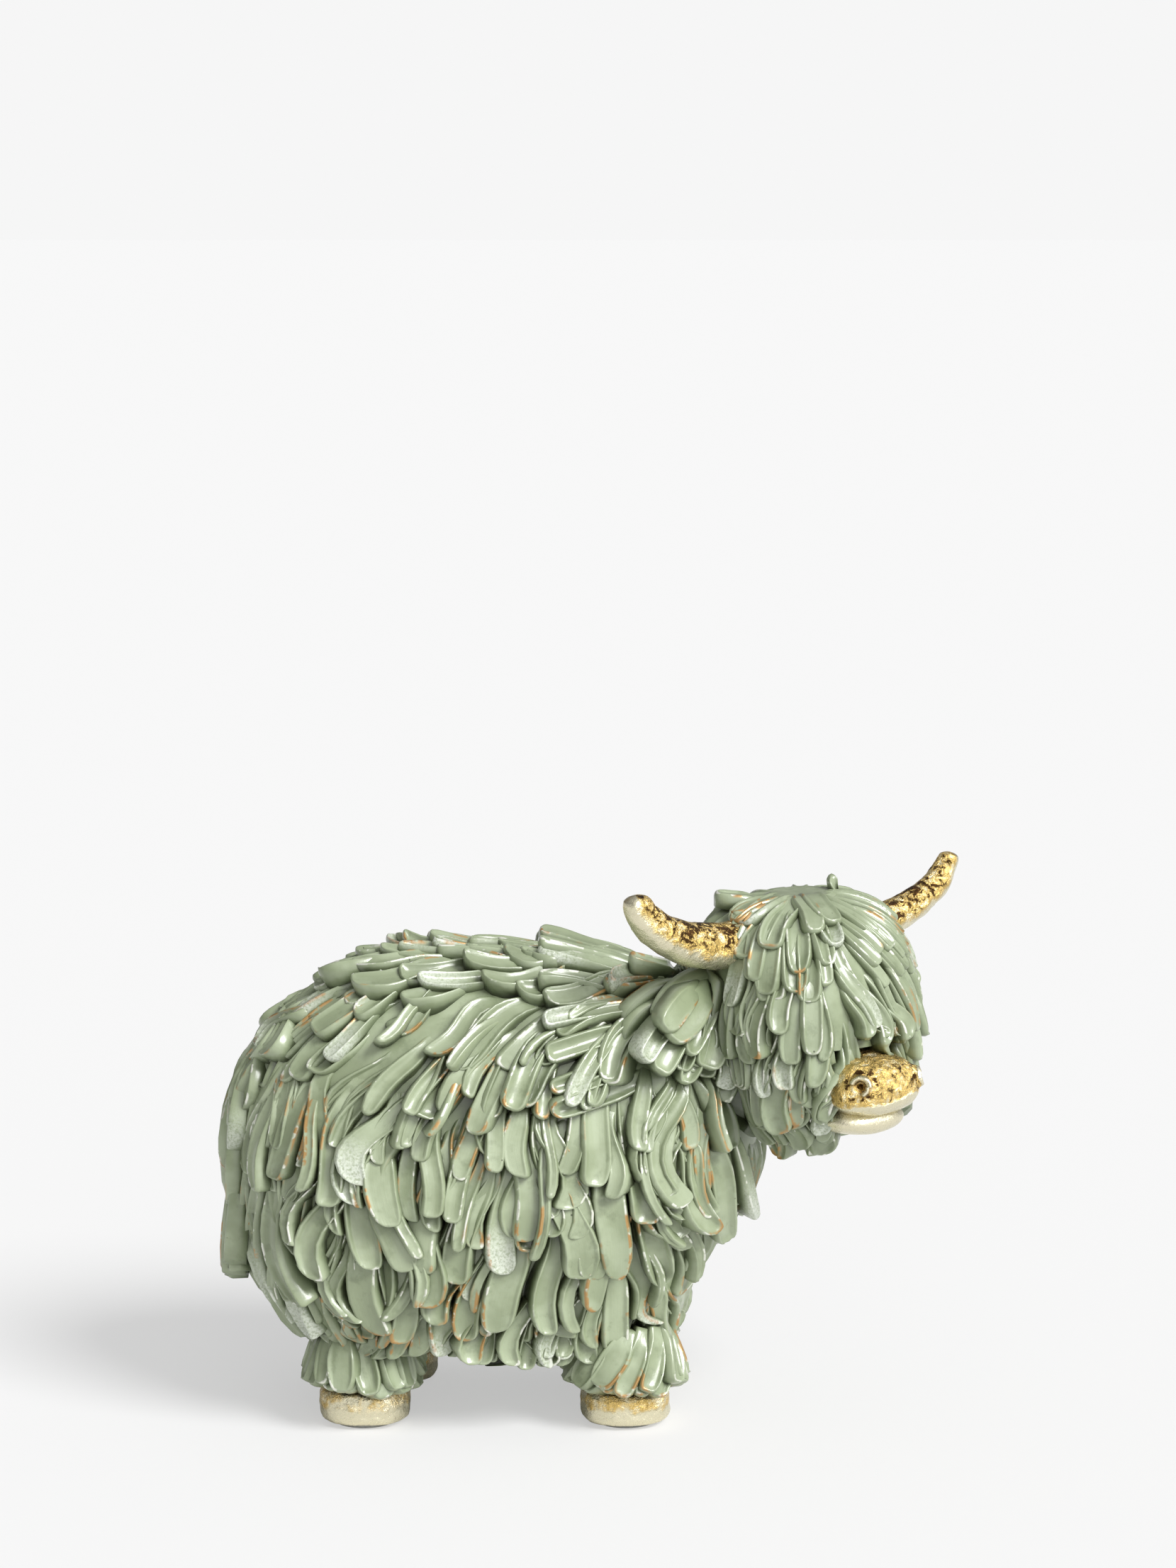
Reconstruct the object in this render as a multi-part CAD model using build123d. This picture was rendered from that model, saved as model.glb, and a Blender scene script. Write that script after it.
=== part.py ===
"""A shaggy long-horned cow figurine, cast in resin and assembled from pegged and glued pieces.

The cow faces +X, its left side is +Y and it stands on z = 0. Its head is turned to its right.
Every rounded casting is a loft through a stack of superellipse rings. The coat is made of
separate locks, laid in rows like shingles on the castings that carry them.
"""
from build123d import *
from math import cos, sin, pi, copysign, dist
import os

# Fits: glued faces leave one glue line, and every peg has one gap all round and at its end
glue_line = 0.1
peg_gap = 0.1
lock_seat_gap = 0.15
lock_side_gap = 0.5
cut_overrun = 5.0

# Torso casting: hollow, with a flat belly for the legs and a flat neck face for the head
torso_length = 137.0
torso_width = 75.0
torso_height = 97.5
torso_centre_x = 4.5
belly_height = 26.0
torso_wall = 6.0
breast_wall = 18.0
belly_wall = 9.0
# one row for each ring of its form: level, reach to the back, reach to the front, half width;
# the form runs on below the belly, where only the coat's hem follows it
torso_ring_shares = [
    (-0.09, 0.71, 0.59, 0.76),
    (0.00, 0.76, 0.64, 0.81),
    (0.10, 0.86, 0.71, 0.88),
    (0.25, 0.96, 0.84, 0.96),
    (0.43, 1.00, 0.99, 1.00),
    (0.60, 0.99, 0.98, 0.97),
    (0.76, 0.91, 0.92, 0.88),
    (0.88, 0.78, 0.80, 0.69),
    (0.96, 0.62, 0.67, 0.45),
    (1.00, 0.45, 0.49, 0.19),
]
chest_narrowing_share = 0.08
torso_squareness = 2.6

# Filling hole in the belly, and the flanged plug that closes it
fill_hole_radius = 7.0
fill_flange_radius = 9.0
fill_flange_height = 1.5

# Neck: a tapered stump on the head casting, cut flat where it meets the torso, with a peg
neck_face_inset = 12.0
neck_face_drop = 25.5
neck_face_x = torso_centre_x + torso_length / 2 - neck_face_inset
neck_face_height = belly_height + torso_height - neck_face_drop
neck_root_radius = 21.0
neck_head_radius = 19.0
neck_peg_radius = 6.0
neck_peg_length = 11.0

# Head casting: skull rings stand on the head's own axes, then turn with head_yaw
head_lead = 21.0
head_x = neck_face_x + head_lead
head_y = -6.0
head_yaw = -54.0
skull_drop = 18.0
skull_bottom = neck_face_height - skull_drop
skull_height = 62.5
skull_length = 54.0
skull_width = 52.0
skull_ring_shares = [
    (0.00, 0.44, 0.74, 0.54),
    (0.13, 0.67, 0.97, 0.73),
    (0.29, 0.81, 1.11, 0.88),
    (0.48, 0.89, 1.07, 0.98),
    (0.67, 0.89, 1.00, 1.00),
    (0.83, 0.78, 0.85, 0.90),
    (0.94, 0.52, 0.59, 0.65),
    (1.00, 0.22, 0.30, 0.31),
]
skull_squareness = 2.4

# Horns: pegged into the skull
horn_drop = 11.5
horn_height = skull_bottom + skull_height - horn_drop
horn_reach = 54.5
horn_rise = 16.5
horn_forward = 1.0
horn_radius = 6.1
horn_peg_radius = 3.0
horn_peg_length = 7.0
# along the horn: reach out from the middle of the head, rise, reach forward, radius
horn_station_shares = [
    (0.33, 0.00, 0.0, 1.00),
    (0.50, 0.01, 0.0, 0.98),
    (0.68, 0.10, 0.2, 0.93),
    (0.82, 0.28, 0.5, 0.85),
    (0.92, 0.53, 0.8, 0.71),
    (0.98, 0.80, 1.0, 0.55),
    (1.00, 0.96, 1.0, 0.40),
    (1.00, 1.00, 1.0, 0.22),
]

# Ears: pegged into the skull under the horns
ear_drop = 22.5
ear_height = skull_bottom + skull_height - ear_drop
ear_reach = 44.0
ear_root_reach = 18.0
ear_droop = 6.0
ear_setback = 5.5
ear_thickness = 12.0
ear_depth = 7.0
ear_peg_radius = 2.5
ear_peg_length = 5.0
# along the ear: place, size
ear_station_shares = [(0.00, 0.70), (0.30, 0.95), (0.60, 1.00), (0.85, 0.70), (1.00, 0.25)]
ear_lock_count = 5
ear_lock_length = 20.0
ear_back_share = 0.30

# Muzzle: an upper and a lower lip in one casting, let into a pocket in the skull
chin_height = 14.5
muzzle_height = skull_bottom + chin_height
muzzle_width = 25.5
muzzle_root_reach = 21.0
muzzle_reach = 40.5
upper_lip_rise = 3.6
upper_lip_height = 15.5
lower_lip_drop = 6.6
lower_lip_height = 8.0
lower_lip_width = 23.0
lower_lip_reach = 37.5
# along a lip: place, size
muzzle_station_shares = [(0.00, 0.86), (0.45, 0.97), (0.72, 1.00), (0.92, 0.80), (1.00, 0.42)]
muzzle_peg_radius = 4.0
muzzle_peg_length = 7.0
nostril_radius = 1.9
nostril_spread = 6.5
nostril_rise = 6.5
nostril_depth = 3.0

# Legs, hooves and foot pads
front_leg_inset = 36.6
hind_leg_inset = 30.1
side_leg_inset = 19.5
front_leg_x = torso_centre_x + torso_length / 2 - front_leg_inset
hind_leg_x = torso_centre_x - torso_length / 2 + hind_leg_inset
stance_half_width = torso_width / 2 - side_leg_inset
left_front_setback = 2.0
left_hind_lead = 6.0
leg_top_radius = 9.0
leg_ankle_radius = 8.2
leg_peg_radius = 4.0
leg_peg_length = 5.5
hoof_length = 23.0
hoof_width = 22.0
hoof_height = 9.6
hoof_peg_radius = 3.0
hoof_peg_length = 4.0
# up the hoof: level, size
hoof_ring_shares = [(0.00, 0.92), (0.14, 1.00), (0.50, 1.00), (0.80, 0.93), (1.00, 0.78)]
hoof_squareness = 2.5
pad_radius = 8.5
pad_thickness = 1.4

# Tail: strands that hang down the rump from one root, which is pegged into the torso
tail_root_drop = 20.0
tail_length = 76.0
tail_strand_width = 7.0
tail_strand_thickness = 3.4
tail_stand_off = 6.1
tail_wave = 2.4
tail_peg_radius = 2.5
tail_peg_length = 3.5
# for each strand, in strand widths and tail lengths: side at its root and tip, start, end, wave
tail_strand_shares = [
    (-0.55, -1.5, 0.00, 0.86, 1.0),
    (0.55, 1.4, 0.00, 0.90, 1.0),
    (-1.70, -2.7, 0.10, 0.62, 1.0),
    (1.70, 2.6, 0.08, 0.66, 1.0),
]
# along a strand: place, width, thickness
strand_station_shares = [
    (0.00, 0.60, 0.50),
    (0.16, 0.85, 0.80),
    (0.34, 0.95, 1.00),
    (0.52, 1.00, 1.00),
    (0.70, 0.90, 0.95),
    (0.87, 0.62, 0.80),
    (1.00, 0.25, 0.40),
]

# Locks: their size where they are full, and how far their tips lift off
lock_thickness = 2.3
coat_lift = 3.4
coat_pitch = 8.8
coat_sweep = 12.0
spine_lock_length = 21.0
spine_lock_width = 7.0
hair_pitch = 7.6
hair_lift = 3.0
crown_fan_locks = 6
crown_fan_length = 14.0
# along a lock: place, width, thickness
lock_station_shares = [
    (0.00, 0.45, 0.35),
    (0.30, 0.74, 0.62),
    (0.70, 1.00, 0.95),
    (0.93, 0.78, 0.88),
    (1.00, 0.30, 0.42),
]
# how much narrower a lock is for its thickness, where a row turns a tight corner
turn_share = 0.15
# how much of its length a lock may keep where something stands in its way
lock_reach_shares = (1.0, 0.7)
# the dished outline of a lock, across it and up from its underside
lock_outline_shares = [
    (-0.50, 0.45),
    (-0.36, 0.03),
    (0.00, 0.00),
    (0.36, 0.03),
    (0.50, 0.45),
    (0.41, 1.00),
    (0.00, 0.70),
    (-0.41, 1.00),
]
# rows of the coat, by the way down the torso: root, tip, backward sweep
coat_row_shares = {
    "coat_back": (0.00, 0.20, 1.2),
    "coat_upper_flank": (0.12, 0.34, 1.2),
    "coat_high_flank": (0.25, 0.48, 1.0),
    "coat_middle_flank": (0.40, 0.64, 0.6),
    "coat_low_flank": (0.56, 0.79, 0.5),
    "coat_belly": (0.69, 0.90, 0.4),
    "coat_hem": (0.82, 1.00, 0.3),
}
# rows of the hair, by the way down the skull: root, tip
hair_row_shares = {
    "hair_crown": (0.00, 0.24),
    "hair_forelock": (0.14, 0.44),
    "hair_brow": (0.32, 0.61),
    "hair_cheeks": (0.50, 0.77),
    "hair_jaw": (0.66, 0.92),
    "hair_beard": (0.80, 1.00),
}

# Tufts round the ankles
tuft_locks = 10
tuft_lift = 4.6
tuft_top = 24.0
tuft_bottom = 8.6

# Fineness of the lofts and of the walks along them
ring_points = 20
round_points = 10
outline_steps = 30
walk_steps = 48


# Lofts

def even_outline(squareness, narrowing, slimness, points):
    """Points of a unit superellipse, narrowed towards +X. They are spaced evenly once it is
    drawn with a width of slimness times its length."""
    dense = []
    for i in range(outline_steps * points + 1):
        angle = 2 * pi * i / (outline_steps * points)
        c, s = cos(angle), sin(angle)
        x = copysign(abs(c) ** (2 / squareness), c)
        y = copysign(abs(s) ** (2 / squareness), s) * (1 - narrowing * c)
        dense.append((x, y))
    walked = [0.0]
    for (xa, ya), (xb, yb) in zip(dense, dense[1:]):
        walked.append(walked[-1] + dist((xa, ya * slimness), (xb, yb * slimness)))
    outline = []
    k = 0
    for i in range(points):
        wanted = walked[-1] * i / points
        while walked[k + 1] < wanted:
            k += 1
        share = (wanted - walked[k]) / (walked[k + 1] - walked[k])
        (xa, ya), (xb, yb) = dense[k], dense[k + 1]
        outline.append((xa + (xb - xa) * share, ya + (yb - ya) * share))
    return outline


def section(centre, across, up, outline, width, height, smooth):
    """A closed curve through an outline, drawn about a centre along two directions."""
    points = [centre + across * (x * width) + up * (y * height) for x, y in outline]
    points.append(points[0])
    steps = [i / len(outline) for i in range(len(points))]
    speed = up.normalized() * ((points[1] - points[0]).length * len(outline))
    ends = [speed, speed] if smooth else None
    return Wire([Edge.make_spline(points, ends, parameters=steps, scale=False)])


x_axis, y_axis, z_axis = Vector(1, 0, 0), Vector(0, 1, 0), Vector(0, 0, 1)


def stack(levels, squareness, narrowing=0.0):
    """A loft through level rings, each given as (height, back, front, half width)."""
    slimness = max(half for _, _, _, half in levels) * 2 / max(
        front - back for _, back, front, _ in levels
    )
    outline = even_outline(squareness, narrowing, slimness, ring_points)
    wires = []
    for height, back, front, half in levels:
        centre = Vector((back + front) / 2, 0, height)
        wires.append(section(centre, x_axis, y_axis, outline, (front - back) / 2, half, True))
    return Solid.make_loft(wires)


round_outline = even_outline(2, 0, 1, round_points)


def limb(stations, upward):
    """A round loft through stations, each given as (point, half width, half height)."""
    wires = []
    for k, (point, half_width, half_height) in enumerate(stations):
        ahead = stations[min(k + 1, len(stations) - 1)][0] - stations[max(k - 1, 0)][0]
        across = ahead.cross(upward).normalized()
        up = across.cross(ahead).normalized()
        wires.append(section(point, across, up, round_outline, half_width, half_height, True))
    return Solid.make_loft(wires)


def ribbon(places, station_shares, width, thickness):
    """A lock or strand as one loft: a place is its underside's (point, outward normal)."""
    wires = []
    for k, (point, normal) in enumerate(places):
        ahead = places[min(k + 1, len(places) - 1)][0] - places[max(k - 1, 0)][0]
        across = normal.cross(ahead).normalized()
        up = ahead.cross(across).normalized()
        _, width_share, thickness_share = station_shares[k]
        size = (width * width_share, thickness * thickness_share)
        wires.append(section(point, across, up, lock_outline_shares, *size, False))
    return Solid.make_loft(wires)


def peg(start, direction, radius, length):
    return Solid.make_cylinder(radius, length, Plane(origin=start, z_dir=direction))


def socket(start, direction, radius, length):
    """The bore that takes a peg, open backwards past the face that the peg starts from."""
    mouth = start - direction * cut_overrun
    return peg(mouth, direction, radius + peg_gap, length + peg_gap + cut_overrun)


def main_solid(shape):
    return max(shape.solids(), key=lambda solid: solid.volume)


# Hosts: the lofted walls that carry the locks

class Host:
    """A side wall, read by the share of the way round it and by the way down from its top."""

    def __init__(self, solid):
        self.wall = max(solid.faces(), key=lambda face: face.area)
        flank = [self.wall.position_at(0.25, 1 - i / walk_steps) for i in range(walk_steps + 1)]
        self.walked = [0.0]
        for a, b in zip(flank, flank[1:]):
            self.walked.append(self.walked[-1] + (b - a).length)
        self.length = self.walked[-1]

    def row(self, drop):
        """The wall's own upward coordinate, at a way down from its top."""
        for i in range(walk_steps):
            if drop <= self.walked[i + 1]:
                share = (drop - self.walked[i]) / (self.walked[i + 1] - self.walked[i])
                return 1 - (i + max(share, 0)) / walk_steps
        return 0.0

    def place(self, around, drop, lift=0.0):
        """A point lifted off the wall, and the normal there."""
        row = self.row(drop)
        normal = self.wall.normal_at(around % 1, row)
        return self.wall.position_at(around % 1, row) + normal * lift, normal

    def girth(self, drop):
        """The length of the way round, at a way down from the top."""
        row = self.row(drop)
        walk = [self.wall.position_at(i / ring_points, row) for i in range(ring_points)]
        return sum((b - a).length for a, b in zip(walk, walk[1:] + walk[:1]))


def lock_places(host, around, drift, root, tip, lift):
    """The places along a lock that lies on a host from a root to a tip, and drifts round it."""
    places = []
    for share, _, _ in lock_station_shares:
        height = lock_seat_gap + lift * share
        places.append(host.place(around + drift * share, root + (tip - root) * share, height))
    return places


def lock_row(host, root, tip, pitch, lift, sweep, stagger, keep):
    """One row of locks round a host. keep says of points on the host whether there is room for
    a lock, which is laid shorter, or left out, where there isn't."""
    girth = host.girth((root + tip) / 2)
    count = round(girth / pitch)
    tightest = min(
        host.girth(root + (tip - root) * share) / width_share
        for share, width_share, _ in lock_station_shares
    )
    width = min(tightest, girth) / count - lock_side_gap - lock_thickness * turn_share
    locks = []
    for i in range(count):
        around = (i + stagger) / count
        drift = sweep * sin(2 * pi * around) / girth
        closing = max(-2 * pi * sweep * cos(2 * pi * around) / girth, 0)
        for reach in lock_reach_shares:
            end = root + (tip - root) * reach
            points = [point for point, _ in lock_places(host, around, drift, root, end, 0)]
            if keep(points):
                places = lock_places(host, around, drift, root, end, lift * reach)
                fitted = (1 - closing) * width
                locks.append(ribbon(places, lock_station_shares, fitted, lock_thickness))
                break
    return locks


# Torso

def torso_levels(rows, floor=0.0, wall=0.0, front_wall=0.0):
    """The torso's rings, or those of a cavity above a floor and inside its walls."""
    reach, half = torso_length / 2, torso_width / 2
    height = torso_height - floor - wall
    levels = []
    for level, back, front, width in rows:
        levels.append(
            (
                belly_height + floor + height * level,
                torso_centre_x - (reach - wall) * back,
                torso_centre_x + (reach - front_wall) * front,
                (half - wall) * width,
            )
        )
    return levels


torso_form = stack(torso_levels(torso_ring_shares), torso_squareness, chest_narrowing_share)
torso_host = Host(torso_form)

neck_face = Vector(neck_face_x, 0, neck_face_height)
skull_middle = Vector(head_x, head_y, skull_bottom + skull_height / 2)
neck_direction = (skull_middle - neck_face).normalized()
leg_places = {
    "front_right": Vector(front_leg_x, -stance_half_width, 0),
    "front_left": Vector(front_leg_x - left_front_setback, stance_half_width, 0),
    "hind_right": Vector(hind_leg_x, -stance_half_width, 0),
    "hind_left": Vector(hind_leg_x + left_hind_lead, stance_half_width, 0),
}
tail_seat, tail_seat_normal = torso_host.place(0.5, tail_root_drop + tail_strand_width)


def half_space(start, direction):
    """A round block that holds everything beyond a plane."""
    return peg(start, direction, torso_length + torso_height, torso_length)


fill_hole = Vector(torso_centre_x, 0, belly_height)


def torso_casting():
    inside = torso_levels(torso_ring_shares[1:], belly_wall, torso_wall, breast_wall)
    shell = torso_form - stack(inside, torso_squareness, chest_narrowing_share)
    shell = shell - half_space(fill_hole, -z_axis)
    shell = shell - half_space(neck_face, neck_direction)
    shell = shell - socket(neck_face, -neck_direction, neck_peg_radius, neck_peg_length)
    for place in leg_places.values():
        shell = shell - socket(place + z_axis * belly_height, z_axis, leg_peg_radius, leg_peg_length)
    shell = shell - socket(fill_hole, z_axis, fill_hole_radius, belly_wall + cut_overrun)
    shell = shell - socket(tail_seat, -tail_seat_normal, tail_peg_radius, tail_peg_length)
    return main_solid(shell)


def fill_plug():
    """A flanged plug, which closes the filling hole from below."""
    under = fill_hole - z_axis * glue_line
    flange = peg(under, -z_axis, fill_flange_radius, fill_flange_height)
    return flange + peg(under, z_axis, fill_hole_radius, belly_wall)


# Head, on its own axes: +X is forward and +Y is the cow's left

head_place = Location((head_x, head_y, 0), (0, 0, head_yaw))


def skull_levels(grow=0.0):
    reach, half = skull_length / 2, skull_width / 2
    levels = []
    for level, back, front, width in skull_ring_shares:
        height = skull_bottom + skull_height * level
        levels.append((height, -reach * back - grow, reach * front + grow, half * width + grow))
    return levels


skull = stack(skull_levels(), skull_squareness)
skull_glued = stack(skull_levels(glue_line), skull_squareness)
skull_host = Host(skull)


def horn_seat(hand):
    """Where a horn's peg starts, and the way it goes into the skull. The cow's left is hand +1."""
    out = horn_reach * horn_station_shares[1][0]
    return Vector(0, hand * out, horn_height), y_axis * -hand


def horn(hand):
    stations = []
    for out, rise, forward, radius in horn_station_shares:
        point = Vector(
            horn_forward * forward, hand * horn_reach * out, horn_height + horn_rise * rise
        )
        stations.append((point, horn_radius * radius, horn_radius * radius))
    body = main_solid(limb(stations, x_axis) - skull_glued)
    return main_solid(body + peg(*horn_seat(hand), horn_peg_radius, horn_peg_length))


def ear_axis(hand, share):
    """A point along the middle of an ear, which droops towards its tip."""
    out = ear_root_reach + (ear_reach - ear_root_reach) * share
    return Vector(-ear_setback, hand * out, ear_height - ear_droop * share**2)


def ear_seat(hand):
    return ear_axis(hand, ear_station_shares[1][0]), y_axis * -hand


def ear(hand):
    stations = [
        (ear_axis(hand, share), ear_depth / 2 * size, ear_thickness / 2 * size)
        for share, size in ear_station_shares
    ]
    body = main_solid(limb(stations, z_axis) - skull_glued)
    return main_solid(body + peg(*ear_seat(hand), ear_peg_radius, ear_peg_length))


def ear_locks(hand):
    """Locks that hang from an ear, in front and shorter behind, fanned out towards its tip."""
    step = (ear_reach - skull_width / 2) / ear_lock_count
    locks = []
    for face, length in ((x_axis, ear_lock_length), (-x_axis, ear_lock_length * ear_back_share)):
        for i in range(ear_lock_count):
            along = (i + 0.5) / ear_lock_count
            out = hand * (skull_width / 2 + step * (i + 1))
            root = Vector(-ear_setback, out, ear_height - ear_droop * along)
            root = root + face * (ear_depth / 2 + lock_seat_gap)
            hang = Vector(0, hand * along, -1).normalized() * (length * (1 - along / 3))
            places = [(root + hang * share, face) for share, _, _ in lock_station_shares]
            locks.append(ribbon(places, lock_station_shares, step - lock_side_gap, lock_thickness))
    return locks


def lip(rise, height, width, reach):
    """One lip: a rounded block that runs forward from the bottom of the skull's pocket."""
    stations = []
    for share, size in muzzle_station_shares:
        out = muzzle_root_reach + (reach - muzzle_root_reach) * share
        point = Vector(out, 0, muzzle_height + rise)
        stations.append((point, width / 2 * size, height / 2 * size))
    return limb(stations, z_axis)


muzzle_seat = Vector(muzzle_root_reach, 0, muzzle_height)


def muzzle():
    upper = lip(upper_lip_rise, upper_lip_height, muzzle_width, muzzle_reach)
    lower = lip(-lower_lip_drop, lower_lip_height, lower_lip_width, lower_lip_reach)
    body = upper + lower + peg(muzzle_seat, -x_axis, muzzle_peg_radius, muzzle_peg_length)
    for hand in (1, -1):
        mouth = Vector(muzzle_reach, hand * nostril_spread, muzzle_height + nostril_rise)
        body = body - peg(mouth, -x_axis, nostril_radius, nostril_depth + nostril_radius)
    return main_solid(body)


def muzzle_pocket():
    """A square-cornered pocket in the skull, one glue line larger than the lips."""
    top = muzzle_height + upper_lip_rise + upper_lip_height / 2 + glue_line
    bottom = muzzle_height - lower_lip_drop - lower_lip_height / 2 - glue_line
    width = muzzle_width + 2 * glue_line
    corner = Vector(muzzle_root_reach - glue_line, -width / 2, bottom)
    return Solid.make_box(skull_length, width, top - bottom, Plane(corner))


def head_casting():
    head = skull - muzzle_pocket()
    head = head - socket(muzzle_seat, -x_axis, muzzle_peg_radius, muzzle_peg_length)
    for hand in (1, -1):
        head = head - socket(*horn_seat(hand), horn_peg_radius, horn_peg_length)
        head = head - socket(*ear_seat(hand), ear_peg_radius, ear_peg_length)
    start = neck_face + neck_direction * glue_line
    length = (skull_middle - start).length
    across = Plane(origin=start, z_dir=neck_direction)
    stump = Solid.make_cone(neck_root_radius, neck_head_radius, length, across)
    head = main_solid(head).moved(head_place) - half_space(start, -neck_direction)
    head = head + (stump - skull.moved(head_place))
    return main_solid(head + peg(start, -neck_direction, neck_peg_radius, neck_peg_length))


# Legs, hooves and foot pads

hoof_top = pad_thickness + hoof_height


def shaft(bottom, top):
    levels = [
        (bottom, -leg_ankle_radius, leg_ankle_radius, leg_ankle_radius),
        ((bottom + top) / 2, -leg_ankle_radius, leg_ankle_radius, leg_ankle_radius),
        (top, -leg_top_radius, leg_top_radius, leg_top_radius),
    ]
    return stack(levels, 2)


def leg(place):
    """A leg that butts against the belly, with a peg upward and a bore for the hoof's peg."""
    bottom, top = hoof_top + glue_line, belly_height - glue_line
    body = shaft(bottom, top) - socket(z_axis * bottom, z_axis, hoof_peg_radius, hoof_peg_length)
    body = body + peg(z_axis * top, z_axis, leg_peg_radius, leg_peg_length)
    return main_solid(body).moved(Location(place))


def hoof(place):
    levels = []
    for level, size in hoof_ring_shares:
        reach = hoof_length / 2 * size
        levels.append((pad_thickness + hoof_height * level, -reach, reach, hoof_width / 2 * size))
    body = stack(levels, hoof_squareness)
    body = body + peg(z_axis * hoof_top, z_axis, hoof_peg_radius, hoof_peg_length)
    return main_solid(body).moved(Location(place))


def foot_pad(place):
    return peg(place, z_axis, pad_radius, pad_thickness)


shaft_host = Host(shaft(hoof_top, belly_height))


def ankle_locks(place):
    """Flared locks that spring from the ankle and hide the top of the hoof."""
    root, tip = belly_height - tuft_top, belly_height - tuft_bottom
    width = 2 * pi * (leg_ankle_radius + tuft_lift) / tuft_locks - 2 * lock_side_gap
    locks = []
    for i in range(tuft_locks):
        places = lock_places(shaft_host, i / tuft_locks, 0, root, tip, tuft_lift)
        locks.append(ribbon(places, lock_station_shares, width, lock_thickness))
    return [lock.moved(Location(place)) for lock in locks]


# Tail

def tail():
    """Wavy strands from one root, which stand clear of the rump's coat."""
    strands = []
    for start_side, end_side, start, end, wave in tail_strand_shares:
        places = []
        for share, _, _ in strand_station_shares:
            drop = tail_root_drop + tail_length * (start + (end - start) * share)
            side = tail_strand_width * (start_side + (end_side - start_side) * share)
            side = side + tail_wave * wave * sin(2 * pi * share)
            around = 0.5 - side / torso_host.girth(drop)
            places.append(torso_host.place(around, drop, tail_stand_off))
        strands.append(
            ribbon(places, strand_station_shares, tail_strand_width, tail_strand_thickness)
        )
    return strands


def tail_root():
    """A short stock that carries the strands, with a peg into the torso."""
    length = tail_stand_off - lock_seat_gap - glue_line
    start = tail_seat + tail_seat_normal * glue_line
    stock = peg(start, tail_seat_normal, tail_strand_width / 2, length)
    return stock + peg(start, -tail_seat_normal, tail_peg_radius, tail_peg_length)


# Coat and hair

coat_depth = lock_thickness + coat_lift + lock_seat_gap
hair_depth = lock_thickness + hair_lift + lock_seat_gap
leg_clearance = leg_ankle_radius + tuft_lift + lock_thickness + lock_side_gap


def beside_neck(point, depth):
    """How far a point is from the neck's joint along the neck, and whether it is in its way."""
    along = (point - neck_face).dot(neck_direction)
    off = (point - neck_face - neck_direction * along).length
    return along, off < neck_root_radius + depth


def beside_ears(point):
    """Whether a point is in the way of the locks that hang from the ears."""
    on_head = (point - head_place.position).rotate(Axis.Z, -head_yaw)
    aside = abs(on_head.X + ear_setback) < ear_depth / 2 + lock_thickness + coat_depth
    within_reach = abs(on_head.Y) < ear_reach + coat_depth
    lowest = ear_height - ear_droop - ear_lock_length - coat_depth
    return aside and within_reach and point.Z > lowest


def room_on_torso(points):
    """A lock of the coat stays clear of the head, the ears, the tail's stock and the ankles'
    tufts."""
    for point in points:
        along, in_the_way = beside_neck(point, hair_depth)
        if along > -glue_line or (in_the_way and along > -hair_depth):
            return False
        if beside_ears(point):
            return False
        if (point - tail_seat).length < tail_strand_width:
            return False
        for place in leg_places.values():
            beside = Vector(point.X - place.X, point.Y - place.Y, 0).length
            if point.Z < tuft_top + lock_thickness and beside < leg_clearance:
                return False
    return True


def room_on_head(points):
    """A lock of the hair stays clear of the horns, the ears, the muzzle and the neck."""
    for point in points:
        for hand in (1, -1):
            if (point - horn_seat(hand)[0]).length < horn_radius + lock_thickness:
                return False
            if (point - ear_seat(hand)[0]).length < ear_thickness / 2 + lock_thickness:
                return False
        above = point.Z - muzzle_height < upper_lip_rise + upper_lip_height / 2
        if above and point.X > 0 and abs(point.Y) < (muzzle_width + hair_pitch) / 2:
            return False
        world_point = point.rotate(Axis.Z, head_yaw) + head_place.position
        along, in_the_way = beside_neck(world_point, lock_side_gap)
        if along < coat_depth or (in_the_way and along < (skull_middle - neck_face).length):
            return False
    return True


def coat():
    rows = {}
    for k, (name, (root, tip, sweep)) in enumerate(coat_row_shares.items()):
        ends = (root * torso_host.length, tip * torso_host.length)
        shape = (coat_pitch, coat_lift, coat_sweep * sweep, 0.5 * (k % 2))
        rows[name] = lock_row(torso_host, *ends, *shape, room_on_torso)
    return rows


def hair():
    rows = {}
    for k, (name, (root, tip)) in enumerate(hair_row_shares.items()):
        ends = (root * skull_host.length, tip * skull_host.length)
        locks = lock_row(skull_host, *ends, hair_pitch, hair_lift, 0, 0.5 * (k % 2), room_on_head)
        rows[name] = [lock.moved(head_place) for lock in locks]
    return rows


def spine():
    """Two files of locks along the flat of the back, which point backward."""
    top = belly_height + torso_height
    reach = torso_length / 2
    front = torso_centre_x + reach * torso_ring_shares[-1][2]
    back = torso_centre_x - reach * torso_ring_shares[-1][1]
    step = spine_lock_length / 2
    locks = []
    for hand in (1, -1):
        for i in range(int((front - back) / step)):
            places = []
            for share, _, _ in lock_station_shares:
                height = top + lock_seat_gap + coat_lift * share
                start = front - step * (i + (hand + 1) / 4)
                side = hand * (spine_lock_width + lock_side_gap) / 2
                places.append((Vector(start - spine_lock_length * share, side, height), z_axis))
            if room_on_torso([point for point, _ in places]):
                locks.append(ribbon(places, lock_station_shares, spine_lock_width, lock_thickness))
    return locks


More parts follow.
